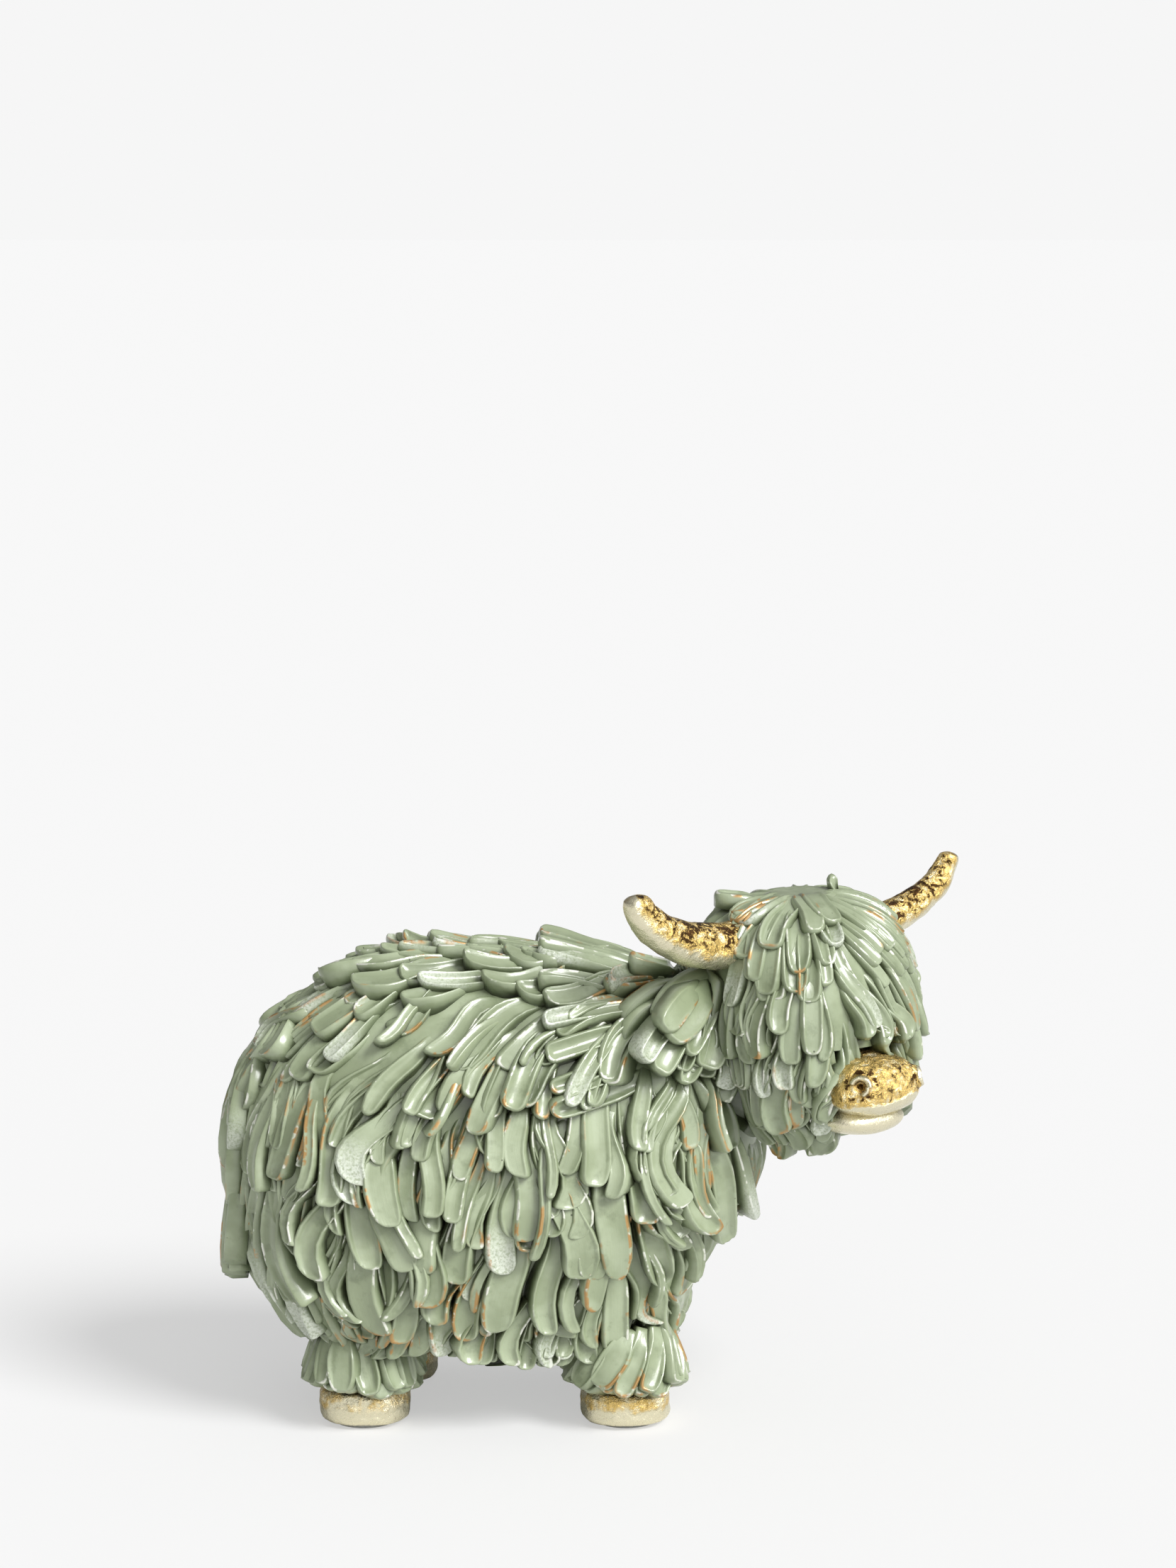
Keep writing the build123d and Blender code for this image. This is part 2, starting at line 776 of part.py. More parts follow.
def crown_fan():
    """Locks that part in the middle of the crown and point outward all round."""
    top = skull_bottom + skull_height
    middle = skull_length / 4 * (skull_ring_shares[-1][2] - skull_ring_shares[-1][1])
    locks = []
    for i in range(crown_fan_locks):
        angle = 2 * pi * (i + 0.5) / crown_fan_locks
        outward = Vector(cos(angle), sin(angle), 0)
        places = []
        for share, _, _ in lock_station_shares:
            out = hair_pitch / 2 + (crown_fan_length - hair_pitch / 2) * share
            height = top + lock_seat_gap + hair_lift * share
            places.append((Vector(middle, 0, height) + outward * out, z_axis))
        width = crown_fan_length * 2 * pi / crown_fan_locks / 2
        locks.append(ribbon(places, lock_station_shares, width, lock_thickness).moved(head_place))
    return locks


# Nodes

def figurine():
    """Every node of the figurine, by name, as a list of solids."""
    nodes = {
        "torso_casting": [torso_casting()],
        "fill_plug": [fill_plug()],
        "head_casting": [head_casting()],
        "muzzle": [muzzle().moved(head_place)],
        "tail_root": [tail_root()],
        "tail_strands": tail(),
        "coat_spine": spine(),
        "hair_top": crown_fan(),
    }
    for side, hand in (("left", 1), ("right", -1)):
        nodes[f"horn_{side}"] = [horn(hand).moved(head_place)]
        nodes[f"ear_{side}"] = [ear(hand).moved(head_place)]
        nodes[f"ear_locks_{side}"] = [lock.moved(head_place) for lock in ear_locks(hand)]
    for name, place in leg_places.items():
        nodes[f"leg_{name}"] = [leg(place)]
        nodes[f"hoof_{name}"] = [hoof(place)]
        nodes[f"foot_pad_{name}"] = [foot_pad(place)]
        nodes[f"ankle_locks_{name}"] = ankle_locks(place)
    nodes.update(coat())
    nodes.update(hair())
    return nodes


def write_nodes(nodes):
    """Centres the figurine over the origin and writes one STEP file for each node."""
    os.makedirs("parts", exist_ok=True)
    box = Compound([solid for solids in nodes.values() for solid in solids]).bounding_box()
    centring = Location((-box.center().X, -box.center().Y, 0))
    print("size", box.size, "moved by", centring.position)
    for name, solids in nodes.items():
        placed = [solid.moved(centring) for solid in solids]
        export_step(placed[0] if len(placed) == 1 else Compound(placed), f"parts/{name}.step")


write_nodes(figurine())
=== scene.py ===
"""Shaggy long-horned cow figurine: hair, paint, studio and camera."""

import math
import random

import bpy
import numpy as np
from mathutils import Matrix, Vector, noise
from mathutils.bvhtree import BVHTree


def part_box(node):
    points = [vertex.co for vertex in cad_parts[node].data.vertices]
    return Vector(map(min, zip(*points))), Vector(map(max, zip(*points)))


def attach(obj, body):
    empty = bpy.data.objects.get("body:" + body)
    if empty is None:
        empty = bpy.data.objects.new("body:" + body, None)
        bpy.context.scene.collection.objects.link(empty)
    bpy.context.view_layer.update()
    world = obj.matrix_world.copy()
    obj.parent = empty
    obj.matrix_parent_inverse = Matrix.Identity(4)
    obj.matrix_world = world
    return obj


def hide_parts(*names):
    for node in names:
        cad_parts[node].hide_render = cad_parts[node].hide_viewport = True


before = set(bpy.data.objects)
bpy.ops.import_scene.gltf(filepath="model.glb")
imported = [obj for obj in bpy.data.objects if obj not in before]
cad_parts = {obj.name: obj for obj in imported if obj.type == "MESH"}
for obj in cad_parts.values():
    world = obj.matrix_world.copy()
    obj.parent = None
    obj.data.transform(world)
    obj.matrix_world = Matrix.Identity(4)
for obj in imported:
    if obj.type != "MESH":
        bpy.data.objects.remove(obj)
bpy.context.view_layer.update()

chance = random.Random(7)

# Driving sizes of the hair, in metres
lock_width = 0.0078
lock_thickness = 0.0026
lock_lift = 0.0036
root_depth = 0.0014
sunk_depth = 0.0016
edge_radius = 0.0013
rim_place = 0.0008
rim_spread = 0.00040
rim_height = 0.00050
dish_depth = 0.00085

# How much single locks differ: shares, powers and counts, then metres, and degrees for the roll
width_shares = (0.74, 1.20)
thickness_shares = (0.85, 1.2)
lift_shares = (0.7, 1.25)
root_shares = (0.42, 0.72)
tip_powers = (1.9, 2.7)
tip_shares = (1.0, 2.4)
rim_shares = (0.5, 1.3)
rim_side_share = 0.8
dish_shares = (-0.3, 1.8)
groove_counts = (0, 0, 0, 2, 2, 3)
groove_depths = (0.00016, 0.00042)
curl_reach = 0.0020
bulge_reach = 0.0012
hook_scatter = 0.0014
sway_scatter = 0.0007
roll_scatter = 12

# How much thinner and lower a lock gets where the coat lies close
pressed_thinning = 0.35
pressed_lowering = 0.8

# How far locks that lie together bend together, and how big such a patch is
swirl_size = 0.022
swirl_hook = 0.0100
swirl_sway = 0.0068
sway_patch = Vector((0.3, 0.1, 0.2))

# Combing: normals below this level let the hair hang free, and how fast a path turns
hang_level = -0.80
hang_droop = 0.25
comb_grip = 0.55

# How finely a lock is drawn
walk_stations = 12
body_rings = 11
end_shares = (1.9, 1.25, 0.85, 0.55, 0.30, 0.12, 0.03)
edge_shares = (0.0, 0.10, 0.30, 0.55, 0.80, 1.15, 1.7)
under_shares = (1.22, 0.4)
last_ring_share = 1.5
least_rounding = 0.05
root_thickness_share = 0.35
rim_base_share = 0.7
hook_power = 2.2

DOWN = Vector((0, 0, -1))
UP = Vector((0, 0, 1))
BACK = Vector((-1, 0, 0))
AHEAD = Vector((1, 0, 0))


# Small sums


def between(value, low, high):
    """0 up to low, 1 from high, and a smooth rise between them."""
    share = np.clip((value - low) / (high - low), 0.0, 1.0)
    return share * share * (3.0 - 2.0 * share)


def along_knots(value, knots):
    """The height at value of a line through (place, height) knots."""
    places = [knot[0] for knot in knots]
    heights = [knot[1] for knot in knots]
    return float(np.interp(value, places, heights))


def unit_rows(rows):
    """Each row as a unit vector."""
    return rows / np.maximum(np.linalg.norm(rows, axis=1, keepdims=True), 1e-9)


def lying_on(vector, normal):
    """The unit vector on the surface nearest to vector."""
    return (vector - normal * vector.dot(normal)).normalized()


def along_path(wanted, travel, rows):
    """The rows of a path, read at the wanted lengths of travel."""
    return np.stack([np.interp(wanted, travel, column) for column in rows.T], axis=1)


def smoothed(rows, times=3):
    """Rows evened out along their order."""
    for _ in range(times):
        padded = np.vstack([rows[:1], rows, rows[-1:]])
        rows = padded[:-2] * 0.25 + padded[1:-1] * 0.5 + padded[2:] * 0.25
    return rows


def evened(values, times):
    """Numbers evened out along their order, with both ends kept."""
    for _ in range(times):
        values[1:-1] = (values[:-2] + 2 * values[1:-1] + values[2:]) / 4
    return values


def bent(value, power):
    """A sine or cosine, for an outline that gets squarer as the power rises over 2."""
    return np.sign(value) * np.abs(value) ** (2 / power)


# Meshes


def ring_faces(rings, around, first=0):
    """The faces of a closed skin over rings of points, numbered from first."""
    faces = []
    for ring in range(rings - 1):
        for step in range(around):
            a = first + ring * around + step
            b = first + ring * around + (step + 1) % around
            faces.append((a, b, b + around, a + around))
    faces.append(tuple(first + step for step in reversed(range(around))))
    faces.append(tuple(first + (rings - 1) * around + step for step in range(around)))
    return faces


def level_way(turn):
    """The level direction at a turn from ahead."""
    return Vector((math.cos(turn), math.sin(turn), 0))


def added(name, data):
    """An object in the scene that shows data."""
    made = bpy.data.objects.new(name, data)
    bpy.context.scene.collection.objects.link(made)
    return made


def smooth_object(name, points, faces, marks, material):
    """A smooth mesh in the scene, with a value of each mark at each point."""
    mesh = bpy.data.meshes.new(name)
    mesh.from_pydata(points.tolist(), [], faces)
    for mark, values in marks.items():
        mesh.attributes.new(mark, "FLOAT", "POINT").data.foreach_set("value", values)
    mesh.polygons.foreach_set("use_smooth", [True] * len(mesh.polygons))
    mesh.materials.append(material)
    return added(name, mesh)


# Skin that hair is laid on


class Skin:
    """The outside of a casting, asked for points and normals."""

    def __init__(self, node):
        graph = bpy.context.evaluated_depsgraph_get()
        self.tree = BVHTree.FromObject(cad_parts[node], graph)
        low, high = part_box(node)
        self.low = low
        self.high = high
        self.middle = (low + high) / 2
        self.reach = (high - low).length

    def nearest(self, point):
        place, normal, _, _ = self.tree.find_nearest(point)
        return place, normal

    def gap(self, point):
        """How far point is from the skin."""
        return self.tree.find_nearest(point)[3]

    def from_outside(self, centre, direction):
        """The outermost skin point seen from centre in direction, or None."""
        return self.tree.ray_cast(centre + direction * self.reach, -direction)[0]

    def ring(self, centre, pitch, start=0.0, rays=180):
        """Points round the skin at the height of centre, pitch apart."""
        hits = []
        for number in range(rays):
            turn = 2 * math.pi * number / rays
            place = self.from_outside(centre, level_way(turn))
            if place is not None:
                hits.append(place)
        hits.append(hits[0])
        steps = [(b - a).length for a, b in zip(hits, hits[1:])]
        travel = np.concatenate([[0.0], np.cumsum(steps)])
        count = max(3, round(travel[-1] / pitch))
        wanted = [(number + start) % count * travel[-1] / count for number in range(count)]
        return [Vector(place) for place in along_path(wanted, travel, np.array(hits))]


def comb(skin, root, flow, length, hang=hang_level):
    """A path over the skin from root as the hair flows, its normals, and 1 where it hangs free."""
    step = length / (walk_stations - 1)
    point, normal = skin.nearest(root)
    heading = lying_on(flow(point, normal), normal)
    points = [point]
    normals = [normal]
    free = [0.0]
    for _ in range(walk_stations - 1):
        ahead = point + heading * step
        place, normal = skin.nearest(ahead)
        if normal.z < hang:
            point = ahead
            normal = normals[-1]
            heading = (heading + DOWN * hang_droop).normalized()
            free.append(1.0)
        else:
            point = place
            wish = lying_on(flow(point, normal), normal)
            heading = lying_on(heading * (1 - comb_grip) + wish * comb_grip, normal)
            free.append(0.0)
        points.append(point)
        normals.append(normal)
    return np.array(points), np.array(normals), np.array(free)


# Locks of hair


class Look:
    """The size and shape of one lock."""

    def __init__(self, width, thickness=lock_thickness, lift=lock_lift, wild=1.0, pressed=0.0):
        loose = 1 - pressed
        self.width = width * chance.uniform(*width_shares)
        self.thickness = thickness * chance.uniform(*thickness_shares) * (1 - pressed_thinning * pressed)
        self.lift = lift * chance.uniform(*lift_shares) * (1 - pressed_lowering * pressed)
        self.curl = chance.uniform(0, curl_reach) * wild * loose
        self.hook = chance.gauss(0, hook_scatter) * wild
        self.sway = chance.gauss(0, sway_scatter) * wild
        self.roll = math.radians(chance.gauss(0, roll_scatter)) * wild * loose
        self.bulge = chance.uniform(0, bulge_reach) * loose
        self.bulge_power = 1.0
        self.root_share = chance.uniform(*root_shares)
        self.tip_power = chance.uniform(*tip_powers)
        self.tip_share = chance.uniform(*tip_shares)
        self.rim = rim_height * chance.uniform(*rim_shares)
        self.rim_side = chance.uniform(-rim_side_share, rim_side_share)
        self.dish = dish_depth * chance.uniform(*dish_shares)
        self.grooves = chance.choice(groove_counts)
        self.groove_depth = chance.uniform(*groove_depths)
        self.mark = chance.random()
        # A spare draw, which keeps the draws after it in their order
        chance.random()

    def swirled(self, root, share=1.0):
        """The same look, bent the way that the locks near root all bend."""
        self.hook += swirl_hook * share * noise.noise(root / swirl_size)
        self.sway += swirl_sway * share * noise.noise((root + sway_patch) / swirl_size)
        return self


class Hair:
    """Locks gathered into one mesh, with what the paint reads at each point."""

    def __init__(self, name):
        self.name = name
        self.points = []
        self.faces = []
        self.marks = {"rim": [], "along": [], "mark": []}
        self.strand = []
        self.count = 0

    def add(self, path, normals, free, look):
        """One closed lock: a dished paddle with a raised rim, down to the skin where it isn't free.

        The bare pairs of numbers are stretches of the way from its root, at 0, to its tip, at 1.
        """
        half = look.width / 2
        edge = edge_radius * min(1.0, look.width / lock_width)
        steps = np.linalg.norm(np.diff(path, axis=0), axis=1)
        travel = np.concatenate([[0.0], np.cumsum(steps)])
        length = travel[-1]
        ends = edge * np.array(end_shares)
        from_tip = np.concatenate([np.linspace(length, ends[0] * last_ring_share, body_rings), ends])
        reach = length - from_tip
        share = reach / length
        normals = unit_rows(smoothed(normals))
        path = smoothed(path, 1)
        centre = along_path(reach, travel, path)
        up = unit_rows(along_path(reach, travel, normals))
        forward = unit_rows(np.gradient(centre, reach, axis=0))
        side = unit_rows(np.cross(forward, up))
        up = np.cross(side, forward)
        turn = (look.roll * between(share, 0.1, 0.9))[:, None]
        side, up = side * np.cos(turn) + up * np.sin(turn), up * np.cos(turn) - side * np.sin(turn)
        swing = look.hook * share**hook_power + look.sway * np.sin(2 * math.pi * share)
        centre = centre + side * swing[:, None]
        rise = -root_depth + (look.lift + root_depth) * between(share, -0.1, 1.05)
        rise = rise + look.bulge * np.sin(math.pi * share**look.bulge_power)
        rise = rise + look.curl * between(share, 0.55, 1.05)
        loose = np.interp(reach, travel, smoothed(free[:, None], 2)[:, 0])
        tip_reach = half * look.tip_share
        closing = np.clip(1 - from_tip / tip_reach, 0, 1)
        rounding = np.maximum((1 - closing**look.tip_power) ** (1 / look.tip_power), least_rounding)
        spread = half * (look.root_share + (1 - look.root_share) * between(share, 0, 0.5)) * rounding
        inward = 1 - edge * np.array(edge_shares) / half
        across = np.concatenate([-inward, [0.0], inward[::-1]])
        to_side = (1 - np.abs(across))[None, :] * spread[:, None]
        to_end = np.repeat(from_tip[:, None], len(across), axis=1)
        inside = to_side * to_end / np.sqrt(to_side**2 + to_end**2 + 1e-12)
        thickening = root_thickness_share + (1 - root_thickness_share) * between(share, 0, 0.3)
        depth = look.thickness / 2 * thickening[:, None]
        shoulder = 1 - np.sqrt(np.clip(1 - (1 - np.minimum(inside / edge, 1)) ** 2, 0, 1))
        rim = np.exp(-(((inside - rim_place) / rim_spread) ** 2))
        rim_share = np.clip(rim_base_share + look.rim_side * np.sign(across), 0, 1)[None, :]
        shown = between(share, 0.1, 0.45)[:, None]
        height = depth * (1 - shoulder) + look.rim * rim * shown
        height = height - look.dish * between(inside, rim_place, rim_place * 3) * shown
        furrow = look.groove_depth * np.cos(math.pi * look.grooves * across)[None, :] * (look.grooves > 0)
        height = height + furrow * between(inside, 0, rim_place * 2) * shown
        under = np.array(under_shares)
        below = np.concatenate([under, -under[::-1]])
        ring_across = np.concatenate([across, below])
        bottom = -((rise + sunk_depth) * (1 - loose) + look.thickness * loose)[:, None]
        ring_height = np.concatenate([height, np.repeat(bottom, len(below), axis=1)], axis=1)
        ring_rim = np.concatenate([rim * shown * rim_share, np.zeros((len(share), len(below)))], axis=1)
        lateral = ring_across[None, :] * spread[:, None]
        points = (
            centre[:, None, :]
            + side[:, None, :] * lateral[:, :, None]
            + up[:, None, :] * (ring_height + rise[:, None])[:, :, None]
        )
        rings, around, _ = points.shape
        self.faces += ring_faces(rings, around, self.count)
        self.points.append(points.reshape(-1, 3))
        self.count += rings * around
        mark = np.full(rings * around, look.mark)
        self.marks["rim"].append(ring_rim.ravel())
        self.marks["along"].append(np.repeat(share, around))
        self.marks["mark"].append(mark)
        self.strand.append(np.stack([lateral.ravel(), np.repeat(reach, around), mark], axis=1))

    def add_straight(self, path, facing, look):
        """One lock along a given path, free of any skin, with its face to facing."""
        self.add(path, np.tile(np.array(facing), (walk_stations, 1)), np.ones(walk_stations), look)

    def piece(self, material, *nodes):
        """The mesh as a piece of the model, standing for the CAD nodes."""
        marks = {name: np.concatenate(values) for name, values in self.marks.items()}
        piece = smooth_object(self.name, np.concatenate(self.points), self.faces, marks, material)
        strand = piece.data.attributes.new("strand", "FLOAT_VECTOR", "POINT")
        strand.data.foreach_set("vector", np.concatenate(self.strand).ravel())
        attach(piece, "root")
        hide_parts(*nodes)
        return piece


# Paint


def linear(red, green, blue):
    """A screen colour of 0 to 255 as the renderer's own."""
    values = [channel / 255 for channel in (red, green, blue)]
    return tuple(v / 12.92 if v <= 0.04045 else ((v + 0.055) / 1.055) ** 2.4 for v in values) + (1.0,)


class Nodes:
    """A node tree, with short calls for the nodes that it needs."""

    def __init__(self, tree):
        self.tree = tree

    def node(self, kind, **settings):
        made = self.tree.nodes.new(kind)
        for name, value in settings.items():
            setattr(made, name, value)
        return made

    def feed(self, socket, value):
        if isinstance(value, bpy.types.NodeSocket):
            self.tree.links.new(value, socket)
        else:
            socket.default_value = value

    def fed(self, kind, values, **settings):
        """A node with its named inputs fed."""
        made = self.node(kind, **settings)
        for name, value in values.items():
            self.feed(made.inputs[name], value)
        return made

    def joined(self, kind, *values, **settings):
        """The output of a node whose inputs are fed in their order."""
        made = self.node(kind, **settings)
        for socket, value in zip(made.inputs, values):
            self.feed(socket, value)
        return made.outputs[0]

    def sum(self, operation, *terms):
        return self.joined("ShaderNodeMath", *terms, operation=operation)

    def times(self, first, second):
        return self.sum("MULTIPLY", first, second)

    def rise(self, value, low, high, least=0.0, most=1.0):
        """The least where value is under low, the most over high."""
        values = {"Value": value, "From Min": low, "From Max": high, "To Min": least, "To Max": most}
        return self.fed("ShaderNodeMapRange", values, interpolation_type="SMOOTHSTEP").outputs[0]


class Paint(Nodes):
    """A material's node tree, with short calls for what paint is made of."""

    def __init__(self, name):
        self.material = bpy.data.materials.new(name)
        self.material.use_nodes = True
        super().__init__(self.material.node_tree)
        self.shader = self.tree.nodes["Principled BSDF"]
        self.place = self.node("ShaderNodeTexCoord").outputs["Object"]

    def done(self, values):
        """The material, with the named inputs of its shader fed."""
        for name, value in values.items():
            self.feed(self.shader.inputs[name], value)
        return self.material

    def mix(self, share, first, second):
        made = self.node("ShaderNodeMix", data_type="RGBA")
        self.feed(made.inputs[0], share)
        self.feed(made.inputs[6], first)
        self.feed(made.inputs[7], second)
        return made.outputs[2]

    def mark(self, name):
        """A value that the mesh holds at each point."""
        return self.node("ShaderNodeAttribute", attribute_name=name).outputs["Fac"]

    def vector(self, name):
        return self.node("ShaderNodeAttribute", attribute_name=name).outputs["Vector"]

    def stretch(self, vector, scales):
        return self.fed("ShaderNodeMapping", {"Vector": vector, "Scale": scales}).outputs[0]

    def noise(self, scale, detail=2.0, roughness=0.5, vector=None, distortion=0.0):
        values = {"Vector": vector or self.place, "Scale": scale, "Detail": detail}
        values |= {"Roughness": roughness, "Distortion": distortion}
        return self.fed("ShaderNodeTexNoise", values).outputs[0]

    def cells(self, scale):
        values = {"Vector": self.place, "Scale": scale}
        return self.fed("ShaderNodeTexVoronoi", values).outputs["Distance"]

    def openness(self, distance):
        """0 deep in a crevice, 1 in the open."""
        values = {"Distance": distance}
        made = self.fed("ShaderNodeAmbientOcclusion", values, samples=openness_samples)
        return made.outputs["AO"]

    def bump(self, height, distance, strength=1.0, under=None):
        values = {"Strength": strength, "Distance": distance, "Height": height}
        if under is not None:
            values["Normal"] = under
        return self.fed("ShaderNodeBump", values).outputs[0]


# Reach of the painted crevice shade, and heights of the grain, in metres
near_crevice = 0.004
deep_crevice = 0.014
green_grain = 0.00012
leaf_crinkle = 0.0011
leaf_grain = 0.00022
gel_ripple = 0.0001
openness_samples = 6

# Waves to the metre of what the paint varies by
tone_waves = 95.0
smudge_waves = 210.0
brush_waves = 150.0
wear_waves = 420.0
worn_waves = 70.0
speckle_waves = 1500.0
pit_waves = 170.0
grain_waves = 650.0
streak_waves = (1500.0, 120.0, 40.0)
crumple_waves = 420.0
ragged_waves = 260.0
fine_waves = 1500.0
cloud_waves = 300.0

sage = linear(142, 153, 122)
sage_pale = linear(160, 171, 141)
# sage_shade and crevice: painted shade in hollows and crevices; sage_shade also darkens random smudges, and
# crevice also fills pits
sage_shade = linear(88, 100, 70)
crevice = linear(70, 76, 52)
silver = linear(240, 240, 230)
antique = linear(172, 136, 82)
pearl = linear(222, 227, 216)
champagne = linear(226, 219, 190)
gold = linear(226, 194, 118)
# ochre: where the leaf mark is lowest, which under the horns is painted shade; flake and burnt: pale leaf and
# brown in cracks, and partly painted glints and dark reflections on the crinkles
ochre = linear(186, 146, 66)
flake_and_glint = linear(248, 236, 200)
burnt_and_dark_reflection = linear(70, 46, 18)
gel_dim = linear(232, 236, 236)
gel_clear = linear(244, 246, 246)


def glaze(name, painted_shade_share=0.0):
    """Sage enamel with painted shade in its crevices, brushed silver and worn gold on the rims, all darkened
    by the given share as painted shade.
    """
    paint = Paint(name)
    tone = paint.rise(paint.noise(tone_waves, 3.0), 0.40, 0.62)
    colour = paint.mix(tone, sage, sage_pale)
    # Painted shade: the whole colour is darkened towards sage_shade by the given share
    colour = paint.mix(painted_shade_share, colour, sage_shade)
    smudge = paint.rise(paint.noise(smudge_waves, 4.0, 0.6), 0.54, 0.70)
    colour = paint.mix(paint.times(smudge, 0.30), colour, sage_shade)
    # Painted shade: ambient occlusion darkens deep hollows towards sage_shade and narrow crevices towards the
    # crevice colour
    near_share = paint.openness(near_crevice)
    deep_share = paint.openness(deep_crevice)
    colour = paint.mix(paint.rise(deep_share, 0.25, 0.70), sage_shade, colour)
    colour = paint.mix(paint.rise(near_share, 0.08, 0.62), crevice, colour)
    rim = paint.mark("rim")
    brush = paint.noise(brush_waves, 3.0, 0.6)
    wear = paint.noise(wear_waves, 2.0)
    colour = paint.mix(paint.times(paint.rise(rim, 0.1, 0.9), 0.45), colour, sage_pale)
    brushed = paint.rise(paint.times(rim, paint.rise(brush, 0.48, 0.60)), 0.35, 0.75)
    silvered = paint.times(brushed, paint.rise(wear, 0.32, 0.46))
    colour = paint.mix(paint.times(silvered, 0.8), colour, silver)
    patches = paint.noise(worn_waves, vector=paint.stretch(paint.place, (1.0, 1.2, 0.8)))
    flaked = paint.times(paint.rise(patches, 0.57, 0.61), paint.rise(wear, 0.38, 0.50))
    gilded = paint.times(flaked, paint.rise(rim, 0.10, 0.55))
    colour = paint.mix(gilded, colour, antique)
    chosen = paint.rise(paint.mark("mark"), 0.90, 0.92)
    patch = paint.times(chosen, paint.rise(paint.mark("along"), 0.50, 0.85))
    speckle = paint.rise(paint.noise(speckle_waves, 4.0, 0.7), 0.30, 0.60)
    pearled = paint.times(patch, speckle)
    pearled = paint.times(pearled, paint.rise(near_share, 0.6, 0.9))
    colour = paint.mix(paint.times(pearled, 0.70), colour, pearl)
    pits = paint.rise(paint.cells(pit_waves), 0.055, 0.03)
    pits = paint.times(pits, paint.rise(brush, 0.5, 0.56))
    colour = paint.mix(pits, colour, crevice)
    metal = paint.sum("MAXIMUM", paint.times(silvered, 0.35), paint.times(gilded, 0.35))
    dull = paint.sum("MULTIPLY_ADD", smudge, 0.16, 0.29)
    streaks = paint.noise(1.0, 3.0, 0.6, vector=paint.stretch(paint.vector("strand"), streak_waves))
    surface = paint.bump(streaks, green_grain, 0.5)
    surface = paint.bump(paint.noise(grain_waves, 4.0, 0.6), green_grain, 0.45, surface)
    values = {"Base Color": colour, "Metallic": metal, "Roughness": dull, "Normal": surface}
    return paint.done(values | {"Coat Weight": 0.4, "Coat Roughness": 0.16})


def leaf(name):
    """Gold leaf: ochre where the mark is lowest, then champagne, then crinkled gold, with burnt flecks and
    bright flakes that are partly painted dark reflections and glints.
    """
    paint = Paint(name)
    crumple = paint.noise(crumple_waves, 6.0, 0.72, distortion=0.5)
    fine = paint.noise(fine_waves, 3.0, 0.7)
    ragged = paint.sum("MULTIPLY_ADD", paint.noise(ragged_waves, 4.0, 0.62), 1.1, -0.55)
    level = paint.sum("ADD", paint.mark("leaf_and_shade"), ragged)
    # Ochre where the mark is lowest: on the horns the mark follows the way the surface faces, so there it is
    # painted shade
    ochre_share = paint.rise(paint.times(level, -1.0), 0.45, 0.95)
    colour = paint.mix(ochre_share, champagne, ochre)
    colour = paint.mix(paint.rise(level, 0.10, 0.40), colour, gold)
    # Burnt flecks and bright flakes on the crinkles: partly brown in cracks and pale leaf, partly painted
    # dark reflections and glints
    dark_flecks_and_reflections = paint.rise(paint.sum("MULTIPLY_ADD", level, 0.10, crumple), 0.57, 0.63)
    dark_flecks_and_reflections = paint.times(dark_flecks_and_reflections, paint.rise(level, 0.30, 0.62))
    colour = paint.mix(dark_flecks_and_reflections, colour, burnt_and_dark_reflection)
    bright_flakes_and_glints = paint.times(paint.rise(crumple, 0.46, 0.40), paint.rise(level, -0.1, 0.3))
    colour = paint.mix(paint.times(bright_flakes_and_glints, 0.8), colour, flake_and_glint)
    dull = paint.sum("MULTIPLY_ADD", fine, 0.26, 0.12)
    crinkle_share = paint.sum("MULTIPLY_ADD", paint.rise(level, 0.0, 0.5), 0.75, 0.25)
    surface = paint.bump(paint.times(crumple, crinkle_share), leaf_crinkle, 0.9)
    surface = paint.bump(fine, leaf_grain, 0.5, surface)
    return paint.done({"Base Color": colour, "Metallic": 0.88, "Roughness": dull, "Normal": surface})


def clear_gel(name):
    """Clear soft pad."""
    paint = Paint(name)
    cloud = paint.noise(cloud_waves, 3.0)
    colour = paint.mix(cloud, gel_dim, gel_clear)
    dull = paint.sum("MULTIPLY_ADD", cloud, 0.2, 0.1)
    values = {"Base Color": colour, "Roughness": dull, "Normal": paint.bump(cloud, gel_ripple, 0.3)}
    return paint.done(values | {"Transmission Weight": 0.6, "IOR": 1.42})


green = glaze("green_glaze")
# A darker copy of the glaze, as painted shade, for the head's hair, the back and the spine, which the key
# light catches most
shade_darkened_green = glaze("painted_shade_glaze", 0.16)
gilt = leaf("gold_leaf")
gel = clear_gel("clear_gel")


def dress(node, material):
    """Paints a CAD node that stays as it is."""
    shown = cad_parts[node]
    shown.data.materials.clear()
    shown.data.materials.append(material)


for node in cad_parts:
    if node.startswith("foot_pad_"):
        dress(node, gel)
    elif node.startswith(("torso_", "head_", "leg_", "fill_plug")):
        dress(node, green)
    elif node.startswith(("ear_left", "ear_right")):
        dress(node, green)


# The head's own directions

head_yaw = math.radians(-54)
face = Vector((math.cos(head_yaw), math.sin(head_yaw), 0))
head_right = Vector((math.sin(head_yaw), -math.cos(head_yaw), 0))
torso = Skin("torso_casting")
skull = Skin("head_casting")
snout = Skin("muzzle")
horn_boxes = [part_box("horn_left"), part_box("horn_right")]
head_middle = sum((low + high for low, high in horn_boxes), Vector()) / 4
head_axis = Vector((head_middle.x, head_middle.y, 0))


# Coat of the body

parting_x = torso.middle.x + 0.036
part_softness = 0.010
side_middle = Vector((torso.middle.x, 0, 0))

